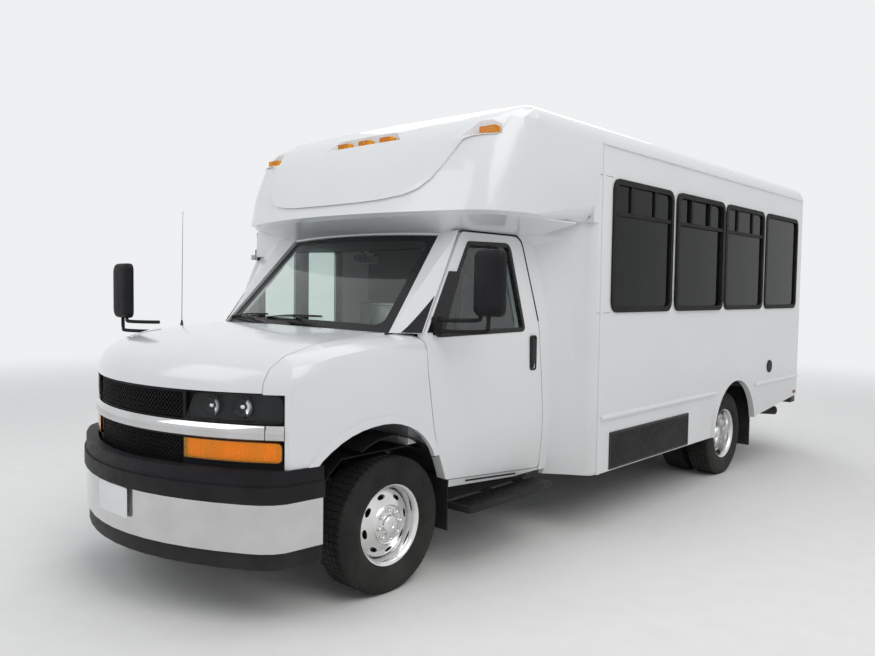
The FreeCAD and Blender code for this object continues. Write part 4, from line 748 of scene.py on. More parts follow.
def treadUnit(centre):
    # one pitch of the tread, drawn at the top of the wheel
    form = tyreForm
    length = 2 * math.pi * form["treadTop"] / form["pitches"]
    width = (2 * form["treadHalf"] + form["groove"]) / form["ribs"]
    blocks = []
    for rib in range(form["ribs"]):
        low = -form["treadHalf"] + rib * width
        high = low + width - form["groove"]
        skew = form["skew"] if rib % 2 else -form["skew"]
        base = [(-length * 0.46 + skew, low), (length * 0.46 + skew, low + 0.001),
                (length * 0.46 - skew, high), (-length * 0.46 - skew, high - 0.001)]
        blocks.append(loft([[(u, centre + v, form["treadBase"] - 0.002) for u, v in base],
                            [(u * 0.93, centre + low + (v - low) * 0.94 + 0.001, form["treadTop"]) for u, v in base]]))
    for side in (1, -1):
        shoulder, edge = (centre + side * (form["treadHalf"] + past) for past in (0.001, 0.0125))
        top = [(-length * 0.32, shoulder, 0.3635), (length * 0.32, shoulder, 0.3635),
               (length * 0.26, edge, 0.340), (-length * 0.26, edge, 0.340)]
        blocks.append(loft([[(u, v, z - 0.008) for u, v, z in top], top]))
    return joined(blocks)


def addTyres(name, axle, centres, side, body):
    meshes = []
    for centre, bulging in centres:
        wall = sided(movedShape(tyreBody(centre, bulging), *axle), side)
        meshes.append(meshOf(name + "_wall", wall, 34))
        meshes.append(bakedMesh(name + "_tread", sided(treadUnit(centre), side), copiesRound,
                                {"Count": tyreForm["pitches"], "Axle": axle}, tyreRubber, 20))
    addPiece(name + "_rubber", joinedMesh(name + "_rubber", meshes), tyreRubber, body, (name,))


def lugCap(centre, base):
    height, radius = lugForm["height"], lugForm["radius"]
    profile = [(0, 1.25), (0.003, 1.2), (0.005, 1), (height * 0.7, 0.9), (height * 0.93, 0.55), (height, 0.2)]
    return turnedRound([(along, radius * share) for along, share in profile], (0, centre + base, lugForm["ring"]), 12)


handHoles = {"count": 8, "middle": 0.151, "halfLength": 0.027, "halfWidth": 0.0125, "bend": 0.49, "steps": 20}


def holeCutter(name, axle, side, low, high):
    # a bent oval, once for each hand hole
    form = handHoles
    loop = []
    for k in range(form["steps"]):
        t = 2 * math.pi * k / form["steps"]
        u = form["halfLength"] * math.cos(t)
        loop.append((u, form["middle"] + form["halfWidth"] * math.sin(t) - form["bend"] * u * u / form["middle"]))
    unit = sided(slabOf(loop, "xz", low, high), side)
    return bakedMesh(name, unit, copiesRound, {"Count": form["count"], "Axle": axle, "First Turn": 0.2}, chrome)


flangeProfile = [(-0.084, 0.2055), (0.080, 0.2055), (0.086, 0.2125), (0.089, 0.2205), (0.0915, 0.2217),
                 (0.0928, 0.2200), (0.0915, 0.2150), (0.087, 0.2080), (0.080, 0.2020), (0.066, 0.1960),
                 (0.040, 0.1925), (0.020, 0.1880), (-0.084, 0.1850)]


def addRim(name, axle, centre, side, body, dome, plateAt, extra=()):
    # rolled flange, barrel and a disc with hand holes, lug caps and the hub
    barrel, disc = (turnedRound([(centre + along, radius) for along, radius in profile], axle, 96, looped=True)
                    for profile in (flangeProfile, dome))
    lows = [along for along, radius in dome if radius > 0.1]
    cutter = holeCutter(name + "_holes", axle, side, centre + min(lows) - 0.05, centre + max(lows) + 0.05)
    lugs = bakedMesh(name + "_lugs", sided(lugCap(centre, plateAt), side), copiesRound,
                     {"Count": lugForm["count"], "Axle": axle, "First Turn": 0.1}, polishedSteel, 50)
    meshes = [meshOf(name + "_barrel", sided(joined([barrel] + list(extra)), side), 40),
              cutMesh(name + "_disc", sided(disc, side), cutter, 40), lugs]
    addPiece(name + "_bright", joinedMesh(name + "_bright", meshes), polishedSteel, body, (name,))


frontDome = [(0.024, 0.186), (0.034, 0.181), (0.038, 0.174), (0.044, 0.160), (0.052, 0.142), (0.059, 0.122),
             (0.064, 0.108), (0.067, 0.102), (0.073, 0.099), (0.0765, 0.096), (0.078, 0.090), (0.078, 0.060),
             (0.080, 0.056), (0.084, 0.054), (0.096, 0.051), (0.102, 0.046), (0.1045, 0.038), (0.1055, 0.016),
             (0.1015, 0.012), (0.1015, 0.001), (0.050, 0.001), (0.048, 0.100), (0.018, 0.176)]
rearDome = [(-0.050, 0.188), (-0.054, 0.182), (-0.058, 0.172), (-0.056, 0.150), (-0.048, 0.126), (-0.042, 0.110),
            (-0.036, 0.102), (-0.031, 0.099), (-0.030, 0.092), (-0.030, 0.066), (-0.027, 0.062), (-0.015, 0.060),
            (0.030, 0.055), (0.043, 0.049), (0.048, 0.040), (0.0495, 0.018), (0.046, 0.014), (0.046, 0.001),
            (-0.070, 0.001), (-0.072, 0.120), (-0.064, 0.180)]

twinRim = [(innerCentre - 0.084, 0.2055), (innerCentre + 0.084, 0.2055), (innerCentre + 0.086, 0.19),
           (innerCentre - 0.080, 0.172)]
twinSpacer = [(innerCentre + 0.084, 0.186), (innerCentre + 0.090, 0.186), (outerCentre - 0.072, 0.118),
              (outerCentre - 0.072, 0.062), (innerCentre + 0.070, 0.062)]
front, rear = (frontAxle, 0.0, hubHeight), (rearAxle, 0.0, hubHeight)
twin = [turnedRound(profile, rear, 64, looped=True) for profile in (twinRim, twinSpacer)]

for sideName, side in sideNames:
    frontBody = bodyOfNode["front_tyre_" + sideName]
    rearBody = bodyOfNode["rear_tyres_" + sideName]
    addTyres("front_tyre_" + sideName, front, [(frontCentre, True)], side, frontBody)
    addTyres("rear_tyres_" + sideName, rear, [(outerCentre, True), (innerCentre, False)], side, rearBody)
    addRim("front_rim_" + sideName, front, frontCentre, side, frontBody, frontDome, 0.0775)
    addRim("rear_rims_" + sideName, rear, outerCentre, side, rearBody, rearDome, -0.0305, twin)

print("stage 6: nose and lamps")

noseForm = {"axis": frontAxle - 0.520, "radius": 1.510}


def nosePoint(y, z, radius):
    turn = math.asin(y / noseForm["radius"])
    return noseForm["axis"] + radius * math.cos(turn), radius * math.sin(turn), z


def noseBand(columns, outer, inner):
    # columns are distance off the middle, lowest and highest point
    return loft([[nosePoint(y, low, outer), nosePoint(y, high, outer), nosePoint(y, high, inner),
                  nosePoint(y, low, inner)] for y, low, high in columns])


def noseRail(section, y0, y1, steps):
    # a section of (height, radius) swept round the nose
    return loft([[nosePoint(y0 + (y1 - y0) * k / steps, z, r) for z, r in section] for k in range(steps + 1)])


barSection = [(0.9065, 1.470), (0.9065, 1.5155), (0.9095, 1.5195), (0.914, 1.5215), (0.950, 1.5210), (0.958, 1.5190),
              (0.972, 1.5110), (0.9775, 1.5060), (0.9785, 1.470)]
barForm = {"half": 0.922, "steps": 48}
bar = noseRail(barSection, -barForm["half"], barForm["half"], barForm["steps"])
makePiece("grille_bar_chrome", bar, chrome, replaced=("grille_bar",), angle=30)
barJoint = noseBand([(0.8465, 0.906, 0.979), (0.8495, 0.906, 0.979)], 1.5219, 1.50)
makePiece("grille_bar_joints", bothSides(barJoint), smoothBlack, angle=34)

latticeForm = {"columns": 33, "pitchAcross": 0.0258, "wire": 0.0034, "depth": 0.012, "radius": 1.4905,
               # lowest row's middle, rows and pitch of each opening
               "openings": [("upper", 1.0035, 5, 0.0255), ("lower", 0.7425, 7, 0.0232)]}
for openingName, lowest, rows, pitchUp in latticeForm["openings"]:
    a, b = latticeForm["pitchAcross"] / 2 + 0.0006, pitchUp / 2 + 0.0006
    shrink = 1 - latticeForm["wire"] / min(a, b)
    diamond = [(a, 0), (0, b), (-a, 0), (0, -b)]
    cell = frameOf(diamond, [(u * shrink, v * shrink) for u, v in diamond], "yz",
                   -latticeForm["depth"] / 2, latticeForm["depth"] / 2)
    repeatPiece("grille_mesh_" + openingName, cell, latticeOnNose,
                {"Columns": latticeForm["columns"], "Rows": rows, "Pitch Across": latticeForm["pitchAcross"],
                 "Pitch Up": pitchUp, "Lowest": lowest, "Radius": latticeForm["radius"],
                 "Axis": noseForm["axis"]}, blackPlastic)

lampColumns = [(0.463, 0.989, 0.993), (0.475, 0.989, 1.020), (0.490, 0.989, 1.055), (0.505, 0.989, 1.088),
               (0.517, 0.989, 1.106), (0.530, 0.989, 1.113), (0.560, 0.989, 1.1155), (0.620, 0.989, 1.117),
               (0.690, 0.989, 1.118), (0.760, 0.989, 1.1185), (0.820, 0.989, 1.1185), (0.865, 0.9895, 1.118),
               (0.888, 0.991, 1.115), (0.901, 0.994, 1.108), (0.909, 0.999, 1.096), (0.9125, 1.008, 1.080)]
lampBowls = [(0.590, 1.060, 0.050), (0.742, 1.060, 0.053)]


def bowlShape(bowl, profile, columns, first=0, last=360):
    # dish whose opening faces straight out of the nose; profile is (radius from the axis, share of the size)
    y, z, radius = bowl
    turn = math.asin(y / noseForm["radius"])
    out, across = Vector((math.cos(turn), math.sin(turn), 0)), Vector((-math.sin(turn), math.cos(turn), 0))
    start = Vector((noseForm["axis"], 0, z))
    angles = [math.radians(first + (last - first) * k / columns) for k in range(columns + (last - first < 360))]
    return [[start + out * reach + across * (radius * share * math.cos(t)) +
             Vector((0, 0, radius * share * math.sin(t))) for t in angles] for reach, share in profile]


# each in section: distance from the nose's axis and share of the bowl's radius
bowlFront = [(1.4990, 1.06), (1.5000, 1.00), (1.4930, 0.93), (1.4850, 0.80), (1.4790, 0.60), (1.4770, 0.30),
             (1.4765, 0.05), (1.4735, 0.05), (1.4740, 0.70), (1.4900, 1.06), (1.4990, 1.06)]
sliverFront = [(1.4990, 0.975), (1.4945, 0.90), (1.4872, 0.76), (1.4815, 0.58), (1.4795, 0.36)]
bulbSection = [(1.4775, 0.10), (1.4840, 0.20), (1.4900, 0.24), (1.4960, 0.20), (1.4990, 0.10), (1.4995, 0.02)]


def headlampInside():
    housing = [(y, low + 0.003, max(high - 0.003, low + 0.004)) for y, low, high in lampColumns]
    sliver = sliverFront + [(reach - 0.0012, share + 0.012) for reach, share in reversed(sliverFront)]
    dark, bright, bulbs = [noseBand(housing, 1.4760, 1.4710)], [], []
    for bowl in lampBowls:
        dark.append(loft(bowlShape(bowl, bowlFront, 40), capped=False))
        bright.append(loft([list(ring) for ring in zip(*bowlShape(bowl, sliver, 22, -62, 58))]))
        bulbs.append(loft(bowlShape(bowl, bulbSection, 16)))
    return joined(dark), joined(bright), joined(bulbs)


lampDark, lampBright, lampBulbs = headlampInside()
# the lens in section: share of the height and distance from the nose's axis
lensSection = [(0, 1.5078), (0, 1.5090), (0.12, 1.5112), (0.88, 1.5112), (1, 1.5090), (1, 1.5078), (0.5, 1.5080)]
lampLensShape = loft([[nosePoint(y, low + (high - low) * share, reach) for share, reach in lensSection]
                      for y, low, high in lampColumns])
makePiece("headlamp_housings", bothSides(lampDark), plastics["lampHousing"])
makePiece("headlamp_reflectors", bothSides(lampBright), metals["lampMirror"], angle=60)
makePiece("headlamp_bulbs", bothSides(lampBulbs), polishedSteel, angle=60)
makePiece("headlamp_lenses", bothSides(lampLensShape), lampLens, replaced=("headlamps",))


def lampBezel(columns, grow, outer, inner):
    # thin frame round a lamp, following its outline
    loop = [(y, low) for y, low, high in columns] + [(y, high) for y, low, high in reversed(columns)]
    middleY, middleZ = sum(y for y, z in loop) / len(loop), sum(z for y, z in loop) / len(loop)
    rings = []
    for y, z in loop + loop[:1]:
        away = Vector((y - middleY, (z - middleZ) * 3.4)).normalized() * grow
        rings.append([nosePoint(y, z, outer), nosePoint(y + away.x, z + away.y, outer),
                      nosePoint(y + away.x, z + away.y, inner), nosePoint(y, z, inner)])
    return loft(rings, capped=False)


turnColumns = [(0.4495, 0.806, 0.891), (0.452, 0.8025, 0.8945), (0.458, 0.801, 0.896), (0.52, 0.801, 0.896),
               (0.60, 0.801, 0.896), (0.68, 0.801, 0.896), (0.76, 0.801, 0.896), (0.84, 0.8015, 0.896),
               (0.892, 0.802, 0.8955), (0.904, 0.805, 0.892), (0.910, 0.812, 0.884), (0.9125, 0.824, 0.870)]
makePiece("turn_lamp_lenses", bothSides(noseBand(turnColumns, 1.5115, 1.5070)), amberLens,
          replaced=("turn_lamps",), edge=0.0015)
turnBack = [(y, low + 0.002, high - 0.002) for y, low, high in turnColumns]
# the amber reflectors and flutes carry the faint painted-light glow given to their material
makePiece("turn_lamp_reflectors", bothSides(noseBand(turnBack, 1.4850, 1.4800)), amberInside)
fluteForm = {"spans": [(0.500, 6, 0.0125), (0.700, 9, 0.0125), (0.860, 5, 0.0125)], "low": 0.808, "high": 0.889}


def fluteShape():
    # slanted facets inside the amber lens
    facets = []
    for middle, count, pitch in fluteForm["spans"]:
        for k in range(count):
            y = middle + (k - (count - 1) / 2) * pitch
            facets.append(loft([[nosePoint(y + pitch * share, z, reach) for share, reach in
                                 ((-0.45, 1.4880), (0, 1.4975), (0.45, 1.4880))]
                                for z in (fluteForm["low"], fluteForm["high"])]))
    return joined(facets)


makePiece("turn_lamp_flutes", bothSides(fluteShape()), amberInside, angle=30)
bezels = [lampBezel(lampColumns, 0.006, 1.5095, 1.4965), lampBezel(turnColumns, 0.005, 1.5100, 1.4965)]
makePiece("lamp_bezels", bothSides(joined(bezels)), smoothBlack)

plateForm = {"station": 1.0690, "middle": 0.008, "low": 0.463, "width": 0.302, "height": 0.152, "corner": 0.012}


def frontPlate():
    form = plateForm
    x, left, right = at(form["station"]), form["middle"] - form["width"] / 2, form["middle"] + form["width"] / 2
    loop = roundedLoop(left, right, form["low"], form["low"] + form["height"], form["corner"])
    makePiece("front_plate", slabOf(loop, "yz", x, x + 0.002), plastics["platePaint"])
    bracket = [blockOf(x - 0.03, x - 0.004, y - 0.015, y + 0.015, form["low"] + 0.02, form["low"] + 0.12)
               for y in (left + 0.06, right - 0.06)]
    makePiece("front_plate_bracket", joined(bracket), smoothBlack)


frontPlate()

print("stage 7: cab")

# half width of the cab's side skin at a few heights
sideLine = [(0.440, 0.952), (0.620, 0.975), (0.800, 0.990), (1.120, 0.992), (1.385, 0.985), (1.990, 0.878)]


def sideAt(z):
    for (z0, y0), (z1, y1) in zip(sideLine, sideLine[1:]):
        if z <= z1 or z1 == sideLine[-1][0]:
            return y0 + (y1 - y0) * (z - z0) / (z1 - z0)


def roundedPolygon(corners, steps=5):
    # corners are u, v and radius
    loop = []
    for i, (u, v, radius) in enumerate(corners):
        here = Vector((u, v))
        back = (Vector(corners[i - 1][:2]) - here).normalized()
        ahead = (Vector(corners[(i + 1) % len(corners)][:2]) - here).normalized()
        half = math.acos(max(-1.0, min(1.0, back.dot(ahead)))) / 2
        start, end = here + back * (radius / math.tan(half)), here + ahead * (radius / math.tan(half))
        for k in range(steps + 1):
            t = k / steps
            loop.append(tuple(start * (1 - t) ** 2 + here * (2 * t * (1 - t)) + end * t * t))
    return loop


def grownPolygon(corners, grow):
    # corners pushed out along the edges' normals
    result = []
    following = corners[1:] + corners[:1]
    sign = math.copysign(1, sum(a[0] * b[1] - b[0] * a[1] for a, b in zip(corners, following)))
    for i, (u, v, radius) in enumerate(corners):
        here = Vector((u, v))
        before = (here - Vector(corners[i - 1][:2])).normalized()
        after = (Vector(following[i][:2]) - here).normalized()
        n0, n1 = Vector((before.y, -before.x)) * sign, Vector((after.y, -after.x)) * sign
        away = (n0 + n1) / (1 + n0.dot(n1))
        result.append((u + away.x * grow, v + away.y * grow, max(radius + grow, 0.004)))
    return result


doorLight = [(-1.134, 1.392, 0.022), (-1.086, 1.912, 0.045), (-0.692, 1.904, 0.025), (-0.322, 1.384, 0.010)]


def onDoor(loop, lift):
    return [(at(u), sideAt(v) + lift, v) for u, v in loop]


# black corner at the front of the door's window: lowest edge, height, front and rear edge with their slopes
doorCorner = {"low": 1.394, "rise": 0.345, "front": -0.238, "frontSlope": 0.698, "rear": -0.378, "rearSlope": 0.60,
              "rows": 8, "columns": 4, "proud": 0.0042}


def doorTrim():
    outer, inner = (roundedPolygon(grownPolygon(doorLight, grow)) for grow in (0.020, -0.006))
    rubber = loft([onDoor(outer, -0.001), onDoor(outer, 0.0035), onDoor(inner, 0.0035), onDoor(inner, -0.030),
                   onDoor(outer, -0.001)], capped=False)
    form = doorCorner
    rings = []
    for k in range(form["rows"] + 1):
        up = form["rise"] * k / form["rows"]
        front = form["front"] - form["frontSlope"] * up
        rear = min(form["rear"] - form["rearSlope"] * up, front - 0.004)
        row = [(front + (rear - front) * i / form["columns"], form["low"] + up) for i in range(form["columns"] + 1)]
        rings.append(onDoor(row, form["proud"]) + onDoor(row[::-1], -0.001))
    return joined([rubber, loft(rings)])


doorBody = bodyOfNode["driver_door"]
makePiece("door_window_rubber", doorTrim(), smoothBlack, body=doorBody, edge=0.001)

handleForm = {"middle": -1.236, "low": 1.120, "high": 1.345, "width": 0.068, "proud": 0.0125,
              # the solid's narrower handle is pressed flat here
              "rear": -1.260, "front": -1.205, "past": 0.9925, "face": 0.9885}


def flattenedHandle():
    form = handleForm
    for vertex in bpy.data.objects["driver_door_panel"].data.vertices:
        x, y, z = vertex.co
        if at(form["rear"]) < x < at(form["front"]) and form["low"] < z < form["high"] and y > form["past"]:
            vertex.co.y = form["face"]


def doorHandle():
    form = handleForm
    half, y = form["width"] / 2, sideAt(1.2) - 0.002
    box = u0, u1, low, high = form["middle"] - half, form["middle"] + half, form["low"], form["high"]
    plate = frameOf(roundedLoop(*box, 0.020), roundedLoop(u0 + 0.010, u1 - 0.010, low + 0.012, high - 0.012, 0.011),
                    "xz", y, y + 0.010)
    cup = slabOf(insetLoop(box, 0.004, 0.016), "xz", y, y + 0.003)
    grip = slabOf(roundedLoop(u0 + 0.013, u1 - 0.013, low + 0.045, high - 0.020, 0.008), "xz",
                  y + 0.002, y + form["proud"])
    lock = turnedRound([(0, 0.0075), (0.006, 0.0075), (0.0075, 0.006), (0.0075, 0.001)],
                       (form["middle"], y + 0.003, low + 0.030), 20)
    return movedShape(joined([plate, cup, grip, lock]), at(0))


flattenedHandle()
makePiece("door_handle", doorHandle(), smoothBlack, body=doorBody, edge=0.0015)


shellMesh = nodeObjects["cab_shell"].data
shellTree = BVHTree.FromPolygons([vertex.co.copy() for vertex in shellMesh.vertices],
                                 [list(face.vertices) for face in shellMesh.polygons])
# painted shade: a black strip standing for the shaded slot under the door, whose lower edge rises towards the front
sillForm = {"rear": -1.130, "front": -0.620, "steps": 12, "edge": 0.540, "slope": 0.0848, "from": -0.430,
            "drop": 0.024, "half": 0.0055, "proud": 0.0012, "sunk": -0.002}


def sillSlotShade():
    form = sillForm
    half, proud, sunk = form["half"], form["proud"], form["sunk"]
    rings = []
    for k in range(form["steps"] + 1):
        u = form["rear"] + (form["front"] - form["rear"]) * k / form["steps"]
        z = form["edge"] + form["slope"] * (u - form["from"]) - form["drop"]
        hit = shellTree.ray_cast(Vector((at(u), 1.3, z)), Vector((0, -1, 0)))[0]
        y = hit.y if hit and hit.y > 0.90 else sideAt(z)
        rings.append([(at(u), y + lift, z + rise) for lift, rise in
                      ((sunk, -half), (proud, -half), (proud, half), (sunk, half))])
    return loft(rings)


archForm = {"centre": 0.392, "radius": 0.452, "thick": 0.006, "inner": 0.620, "outer": 0.955, "first": 62,
            "last": 140, "steps": 24}


def archLining():
    # dark lining between the fender's opening and the bare wall behind it
    form = archForm
    near, far = form["radius"], form["radius"] + form["thick"]
    section = [(near, form["inner"]), (near, form["outer"]), (far, form["outer"]), (far, form["inner"])]
    rings = []
    for k in range(form["steps"] + 1):
        turn = math.radians(form["first"] + (form["last"] - form["first"]) * k / form["steps"])
        rings.append([(at(0) + radius * math.cos(turn), y, form["centre"] + radius * math.sin(turn))
                      for radius, y in section])
    return bothSides(loft(rings))


skirtForm = {"y": 0.905, "thick": 0.004,
             "corners": ((-0.475, 0.396), (-1.305, 0.396), (-1.305, 0.452), (-0.475, 0.505))}
boardSkirt = slabOf([(at(u), z) for u, z in skirtForm["corners"]], "xz",
                    skirtForm["y"] - skirtForm["thick"], skirtForm["y"])
# painted shade: the black strip stands where the slot under the door lies in shade
makePiece("sill_slot_painted_shade", sillSlotShade(), smoothBlack)
makePiece("front_arch_lining", archLining(), blackPlastic)
makePiece("running_board_skirt", boardSkirt, blackPlastic)

# each pair of points holds the foot's and the head's value
screenForm = {"half": (0.800, 0.700), "side": (-0.124, -0.656), "middle": (-0.072, -0.604), "sideZ": (1.372, 1.958),
              "middleZ": (1.388, 1.976), "halfWidth": 0.75, "length": 0.79, "thick": 0.005, "columns": 40, "rows": 14}


def screenPoint(u, v, lift=0.0):
    # u is the distance off the middle and v the distance up the glass
    f, t = u / screenForm["halfWidth"], v / screenForm["length"]
    half, side, middle, sideZ, middleZ = (low + (high - low) * t for low, high in
                                          (screenForm[key] for key in ("half", "side", "middle", "sideZ", "middleZ")))
    normal = Vector((0.742, 0.10 * f, 0.671)).normalized()
    x, z = at(middle + (side - middle) * f * f), middleZ + (sideZ - middleZ) * f * f
    return Vector((x, half * f, z)) + normal * lift


def sharedSteps(outer, inner, step):
    # both loops get the same number of points along each edge
    longOuter, longInner = [], []
    for i in range(len(outer)):
        a, b, c, d = (Vector(loop[(i + n) % len(outer)]) for loop in (outer, inner) for n in (0, 1))
        pieces = max(1, math.ceil(max((b - a).length, (d - c).length) / step))
        for k in range(pieces):
            longOuter.append(tuple(a + (b - a) * k / pieces))
            longInner.append(tuple(c + (d - c) * k / pieces))
    return longOuter, longInner


def windscreen():
    form = screenForm
    w, h, thick, columns, rows = (form[key] for key in ("halfWidth", "length", "thick", "columns", "rows"))
    across = [-w + 2 * w * i / columns for i in range(columns + 1)]
    rings = [[screenPoint(u, h * j / rows) for u in across] +
             [screenPoint(u, h * j / rows, -thick) for u in reversed(across)] for j in range(rows + 1)]
    makePiece("windscreen_pane", loft(rings), clearGlass, replaced=("windshield",), angle=30)
    outer, inner = sharedSteps(roundedLoop(-w, w, 0.0, h, 0.012, 4),
                               roundedLoop(-w + 0.078, w - 0.078, 0.066, h - 0.052, 0.060, 4), 0.05)
    back = -thick - 0.0008
    rings = [[screenPoint(u, v, lift) for u, v in loop] for loop, lift in
             ((outer, back), (outer, 0.0012), (inner, 0.0006), (inner, back), (outer, back))]
    makePiece("windscreen_border", loft(rings, capped=False), smoothBlack, angle=30)
    rings = []
    for u in [(-w + 0.074 + (2 * w - 0.148) * k / 30) for k in range(31)]:
        low, high = h - 0.145 + 0.05 * (u / w) ** 2, h - 0.050
        rings.append([screenPoint(u, v, lift) for v, lift in
                      ((low, 0.0003), (high, 0.0003), (high, 0.0014), (low, 0.0014))])
    makePiece("windscreen_shade", loft(rings), shadeGlass, angle=30)


windscreen()

# black corner panel on the outer face of each front pillar, beside the door's
pillarCorners = [Vector(corner) for corner in ((-0.118, 0.803, 1.388), (-0.219, 0.968, 1.388),
                                               (-0.625, 0.868, 1.985), (-0.645, 0.703, 1.985))]


def pillarPoint(s, t, lift):
    # on the pillar's skin, where it is met from outside
    a, b, c, d = pillarCorners
    low, high = a + (b - a) * s, d + (c - d) * s
    away = (b - a).cross(d - a).normalized()
    away = away if away.x > 0 else -away
    start = low + (high - low) * t
    start.x = at(start.x)
    return (shellTree.ray_cast(start + away * pillarForm["reach"], -away)[0] or start) + away * lift


# shares of the pillar's width and height
pillarForm = {"reach": 0.08, "rows": 7, "columns": 5, "foot": 0.004, "height": 0.34, "left": (0.36, 0.955),
              "right": 0.965, "curve": 0.85}


def pillarPanel():
    form = pillarForm
    rows, columns, (first, last) = form["rows"], form["columns"], form["left"]
    rings = []
    for k in range(rows + 1):
        t = form["foot"] + form["height"] * k / rows
        left = first + (last - first) * (k / rows) ** form["curve"]
        row = [left + (form["right"] - left) * i / columns for i in range(columns + 1)]
        rings.append([pillarPoint(s, t, 0.0020) for s in row] + [pillarPoint(s, t, -0.0005) for s in reversed(row)])
    return loft(rings)


makePiece("pillar_corner_panels", bothSides(pillarPanel()), smoothBlack)

# closing panel from the heads of the windscreen and the door up to the cap's underside; each
# line has a straight side, a bend at the corner and a bowed front
headLines = {
    "lower": {"side": (0.868, 1.986), "sideEnd": -0.750, "bulge": (-0.660, 0.862), "corner": (-0.648, 0.700, 1.967),
              "front": -0.550, "middle": 1.984},
    "foot": {"side": (0.905, 1.998), "sideEnd": -0.760, "bulge": (-0.637, 0.905), "corner": (-0.590, 0.716, 1.998),
             "front": -0.506, "middle": 1.998},
    "upper": {"side": (1.188, 2.0635), "sideEnd": -0.915, "bulge": (-0.553, 1.188), "corner": (-0.507, 0.996, 2.0635),
              "front": -0.168, "middle": 2.0635},
}


def headLine(name, share):
    # share runs from 0 to 1 on the side, to 2 round the corner and to 3 across the front
    form = headLines[name]
    sideY, sideZ = form["side"]
    cornerX, cornerY, cornerZ = form["corner"]
    if share <= 1:
        return Vector((at(-1.402 + (form["sideEnd"] + 1.402) * share), sideY, sideZ))
    t = share - 1 if share <= 2 else share - 2
    start, bulge, finish = (1 - t) ** 2, 2 * t * (1 - t), t * t
    if share <= 2:
        bulgeX, bulgeY = form["bulge"]
        return Vector((at(form["sideEnd"] * start + bulgeX * bulge + cornerX * finish),
                       sideY * start + bulgeY * bulge + cornerY * finish, sideZ + (cornerZ - sideZ) * t))
    return Vector((at(cornerX * (start + finish) + form["front"] * bulge), cornerY * (1 - 2 * t),
                   cornerZ * (1 - bulge * 2) + form["middle"] * bulge * 2))


def headTrim():
    shares = [0, 0.5, 1] + [1 + k / 6 for k in range(1, 7)] + [2 + k / 16 for k in range(1, 17)]
    rise = Vector((0, 0, 0.006))
    lines = [[headLine(name, share) for name in headLines] for share in shares]
    # and on round the far corner
    lines += [[headLine(name, share) * Vector((1, -1, 1)) for name in headLines] for share in (1.84, 1.67, 1.50)]
    rings = []
    for lower, foot, upper in lines:
        dip = foot.lerp(upper, 0.5) - rise * 0.5
        rings.append([lower, foot, dip, upper] + [point + rise * 1.4 for point in (upper, foot, lower)])
    return loft(rings)


makePiece("cap_head_trim", headTrim(), bodyWhite, angle=50)

# columns are y and the low and high edge's x
cornerFill = {"low": 1.862, "high": 2.083, "thick": 0.006, "bow": 0.004,
              "columns": [(-1.212, 1.786, 1.770), (-1.170, 1.792, 1.781), (-1.100, 1.793, 1.790),
                          (-1.000, 1.795, 1.790), (-0.900, 1.798, 1.788), (-0.845, 1.800, 1.786),
                          (-0.800, 1.801, 1.785)]}


def entryCornerFill():
    # white panel ahead of the entry door's upper corner, up to the cap's foot
    form = cornerFill
    low, high = form["low"], form["high"]
    rings = []
    for y, lowX, highX in form["columns"]:
        line = [(lowX, low), ((lowX + highX) / 2 + form["bow"], (low + high) / 2), (highX, high)]
        rings.append([(x, y, z) for x, z in line] + [(x - form["thick"], y, z) for x, z in reversed(line)])
    return loft(rings)


makePiece("entry_corner_fill", entryCornerFill(), bodyWhite, edge=0.002)

def doorHeadSeal():
    loop = roundedPolygon([(-0.630, 1.983, 0.03), (-1.229, 1.983, 0.084), (-1.309, 1.433, 0.02),
                           (-1.330, 1.150, 0.02), (-0.231, 1.390, 0.02)], 6)
    end = next(i for i, (u, v) in enumerate(loop) if v < 1.5)
    path = [(at(u - 0.0015), sideAt(min(v, 1.985)) + 0.0005, v + 0.0015) for u, v in loop[:end + 1]]
    return tubeOf(path, 0.0038, 8)


makePiece("door_head_seal", doorHeadSeal(), sealRubber, angle=50)


# where the arm stands, how far off the middle the blade's middle lies and half the blade's length
wiperForm = {"station": -0.035, "z": 1.386, "wipers": ((0.43, -0.06, 0.27), (-0.16, -0.60, 0.25)), "steps": 12,
             "squeeze": 0.75 / 0.79}


def wiperShapes():
    form = wiperForm
    shares = [2 * k / form["steps"] - 1 for k in range(form["steps"] + 1)]
    shapes = []
    for footY, tipY, reach in form["wipers"]:
        foot = Vector((at(form["station"]), footY, form["z"]))
        tip = screenPoint(tipY * form["squeeze"], 0.075, 0.020)
        knee = foot.lerp(tip, 0.30) + Vector((0.004, 0, 0.012))
        elbow = foot.lerp(tip, 0.65) + Vector((0, 0, 0.006))
        shapes.append(turnedRound([(0, 0.019), (0.010, 0.019), (0.015, 0.013), (0.016, 0.002)],
                                  (foot.x, foot.y, foot.z - 0.004), 20, "z"))
        shapes.append(tubeOf([foot, knee, elbow, tip], [0.013, 0.010, 0.007, 0.005], 8, 0.55))
        blade = [((tipY - reach * share) * form["squeeze"], 0.077 - 0.015 * share) for share in shares]
        spine = [screenPoint(u, v, 0.020 - 0.010 * share ** 2) for (u, v), share in zip(blade, shares)]
        shapes.append(tubeOf(spine, [0.007 - 0.003 * abs(share) for share in shares], 8, 0.8))
        shapes.append(tubeOf([screenPoint(u, v, 0.004) for u, v in blade], 0.0032, 6))
    return joined(shapes)


makePiece("wipers", wiperShapes(), smoothBlack, angle=45)

louvreForm = {"count": 34, "pitch": 0.0125, "length": 0.080, "station": -0.030, "half": 0.0028}
louvreStart = -louvreForm["pitch"] * (louvreForm["count"] - 1) / 2
louvre = blockOf(at(louvreForm["station"]), at(louvreForm["station"]) + louvreForm["length"],
                 louvreStart - louvreForm["half"], louvreStart + louvreForm["half"], 1.366, 1.3815)
repeatAlong("cowl_louvres", louvre, louvreForm["count"], (0, louvreForm["pitch"], 0), blackPlastic)

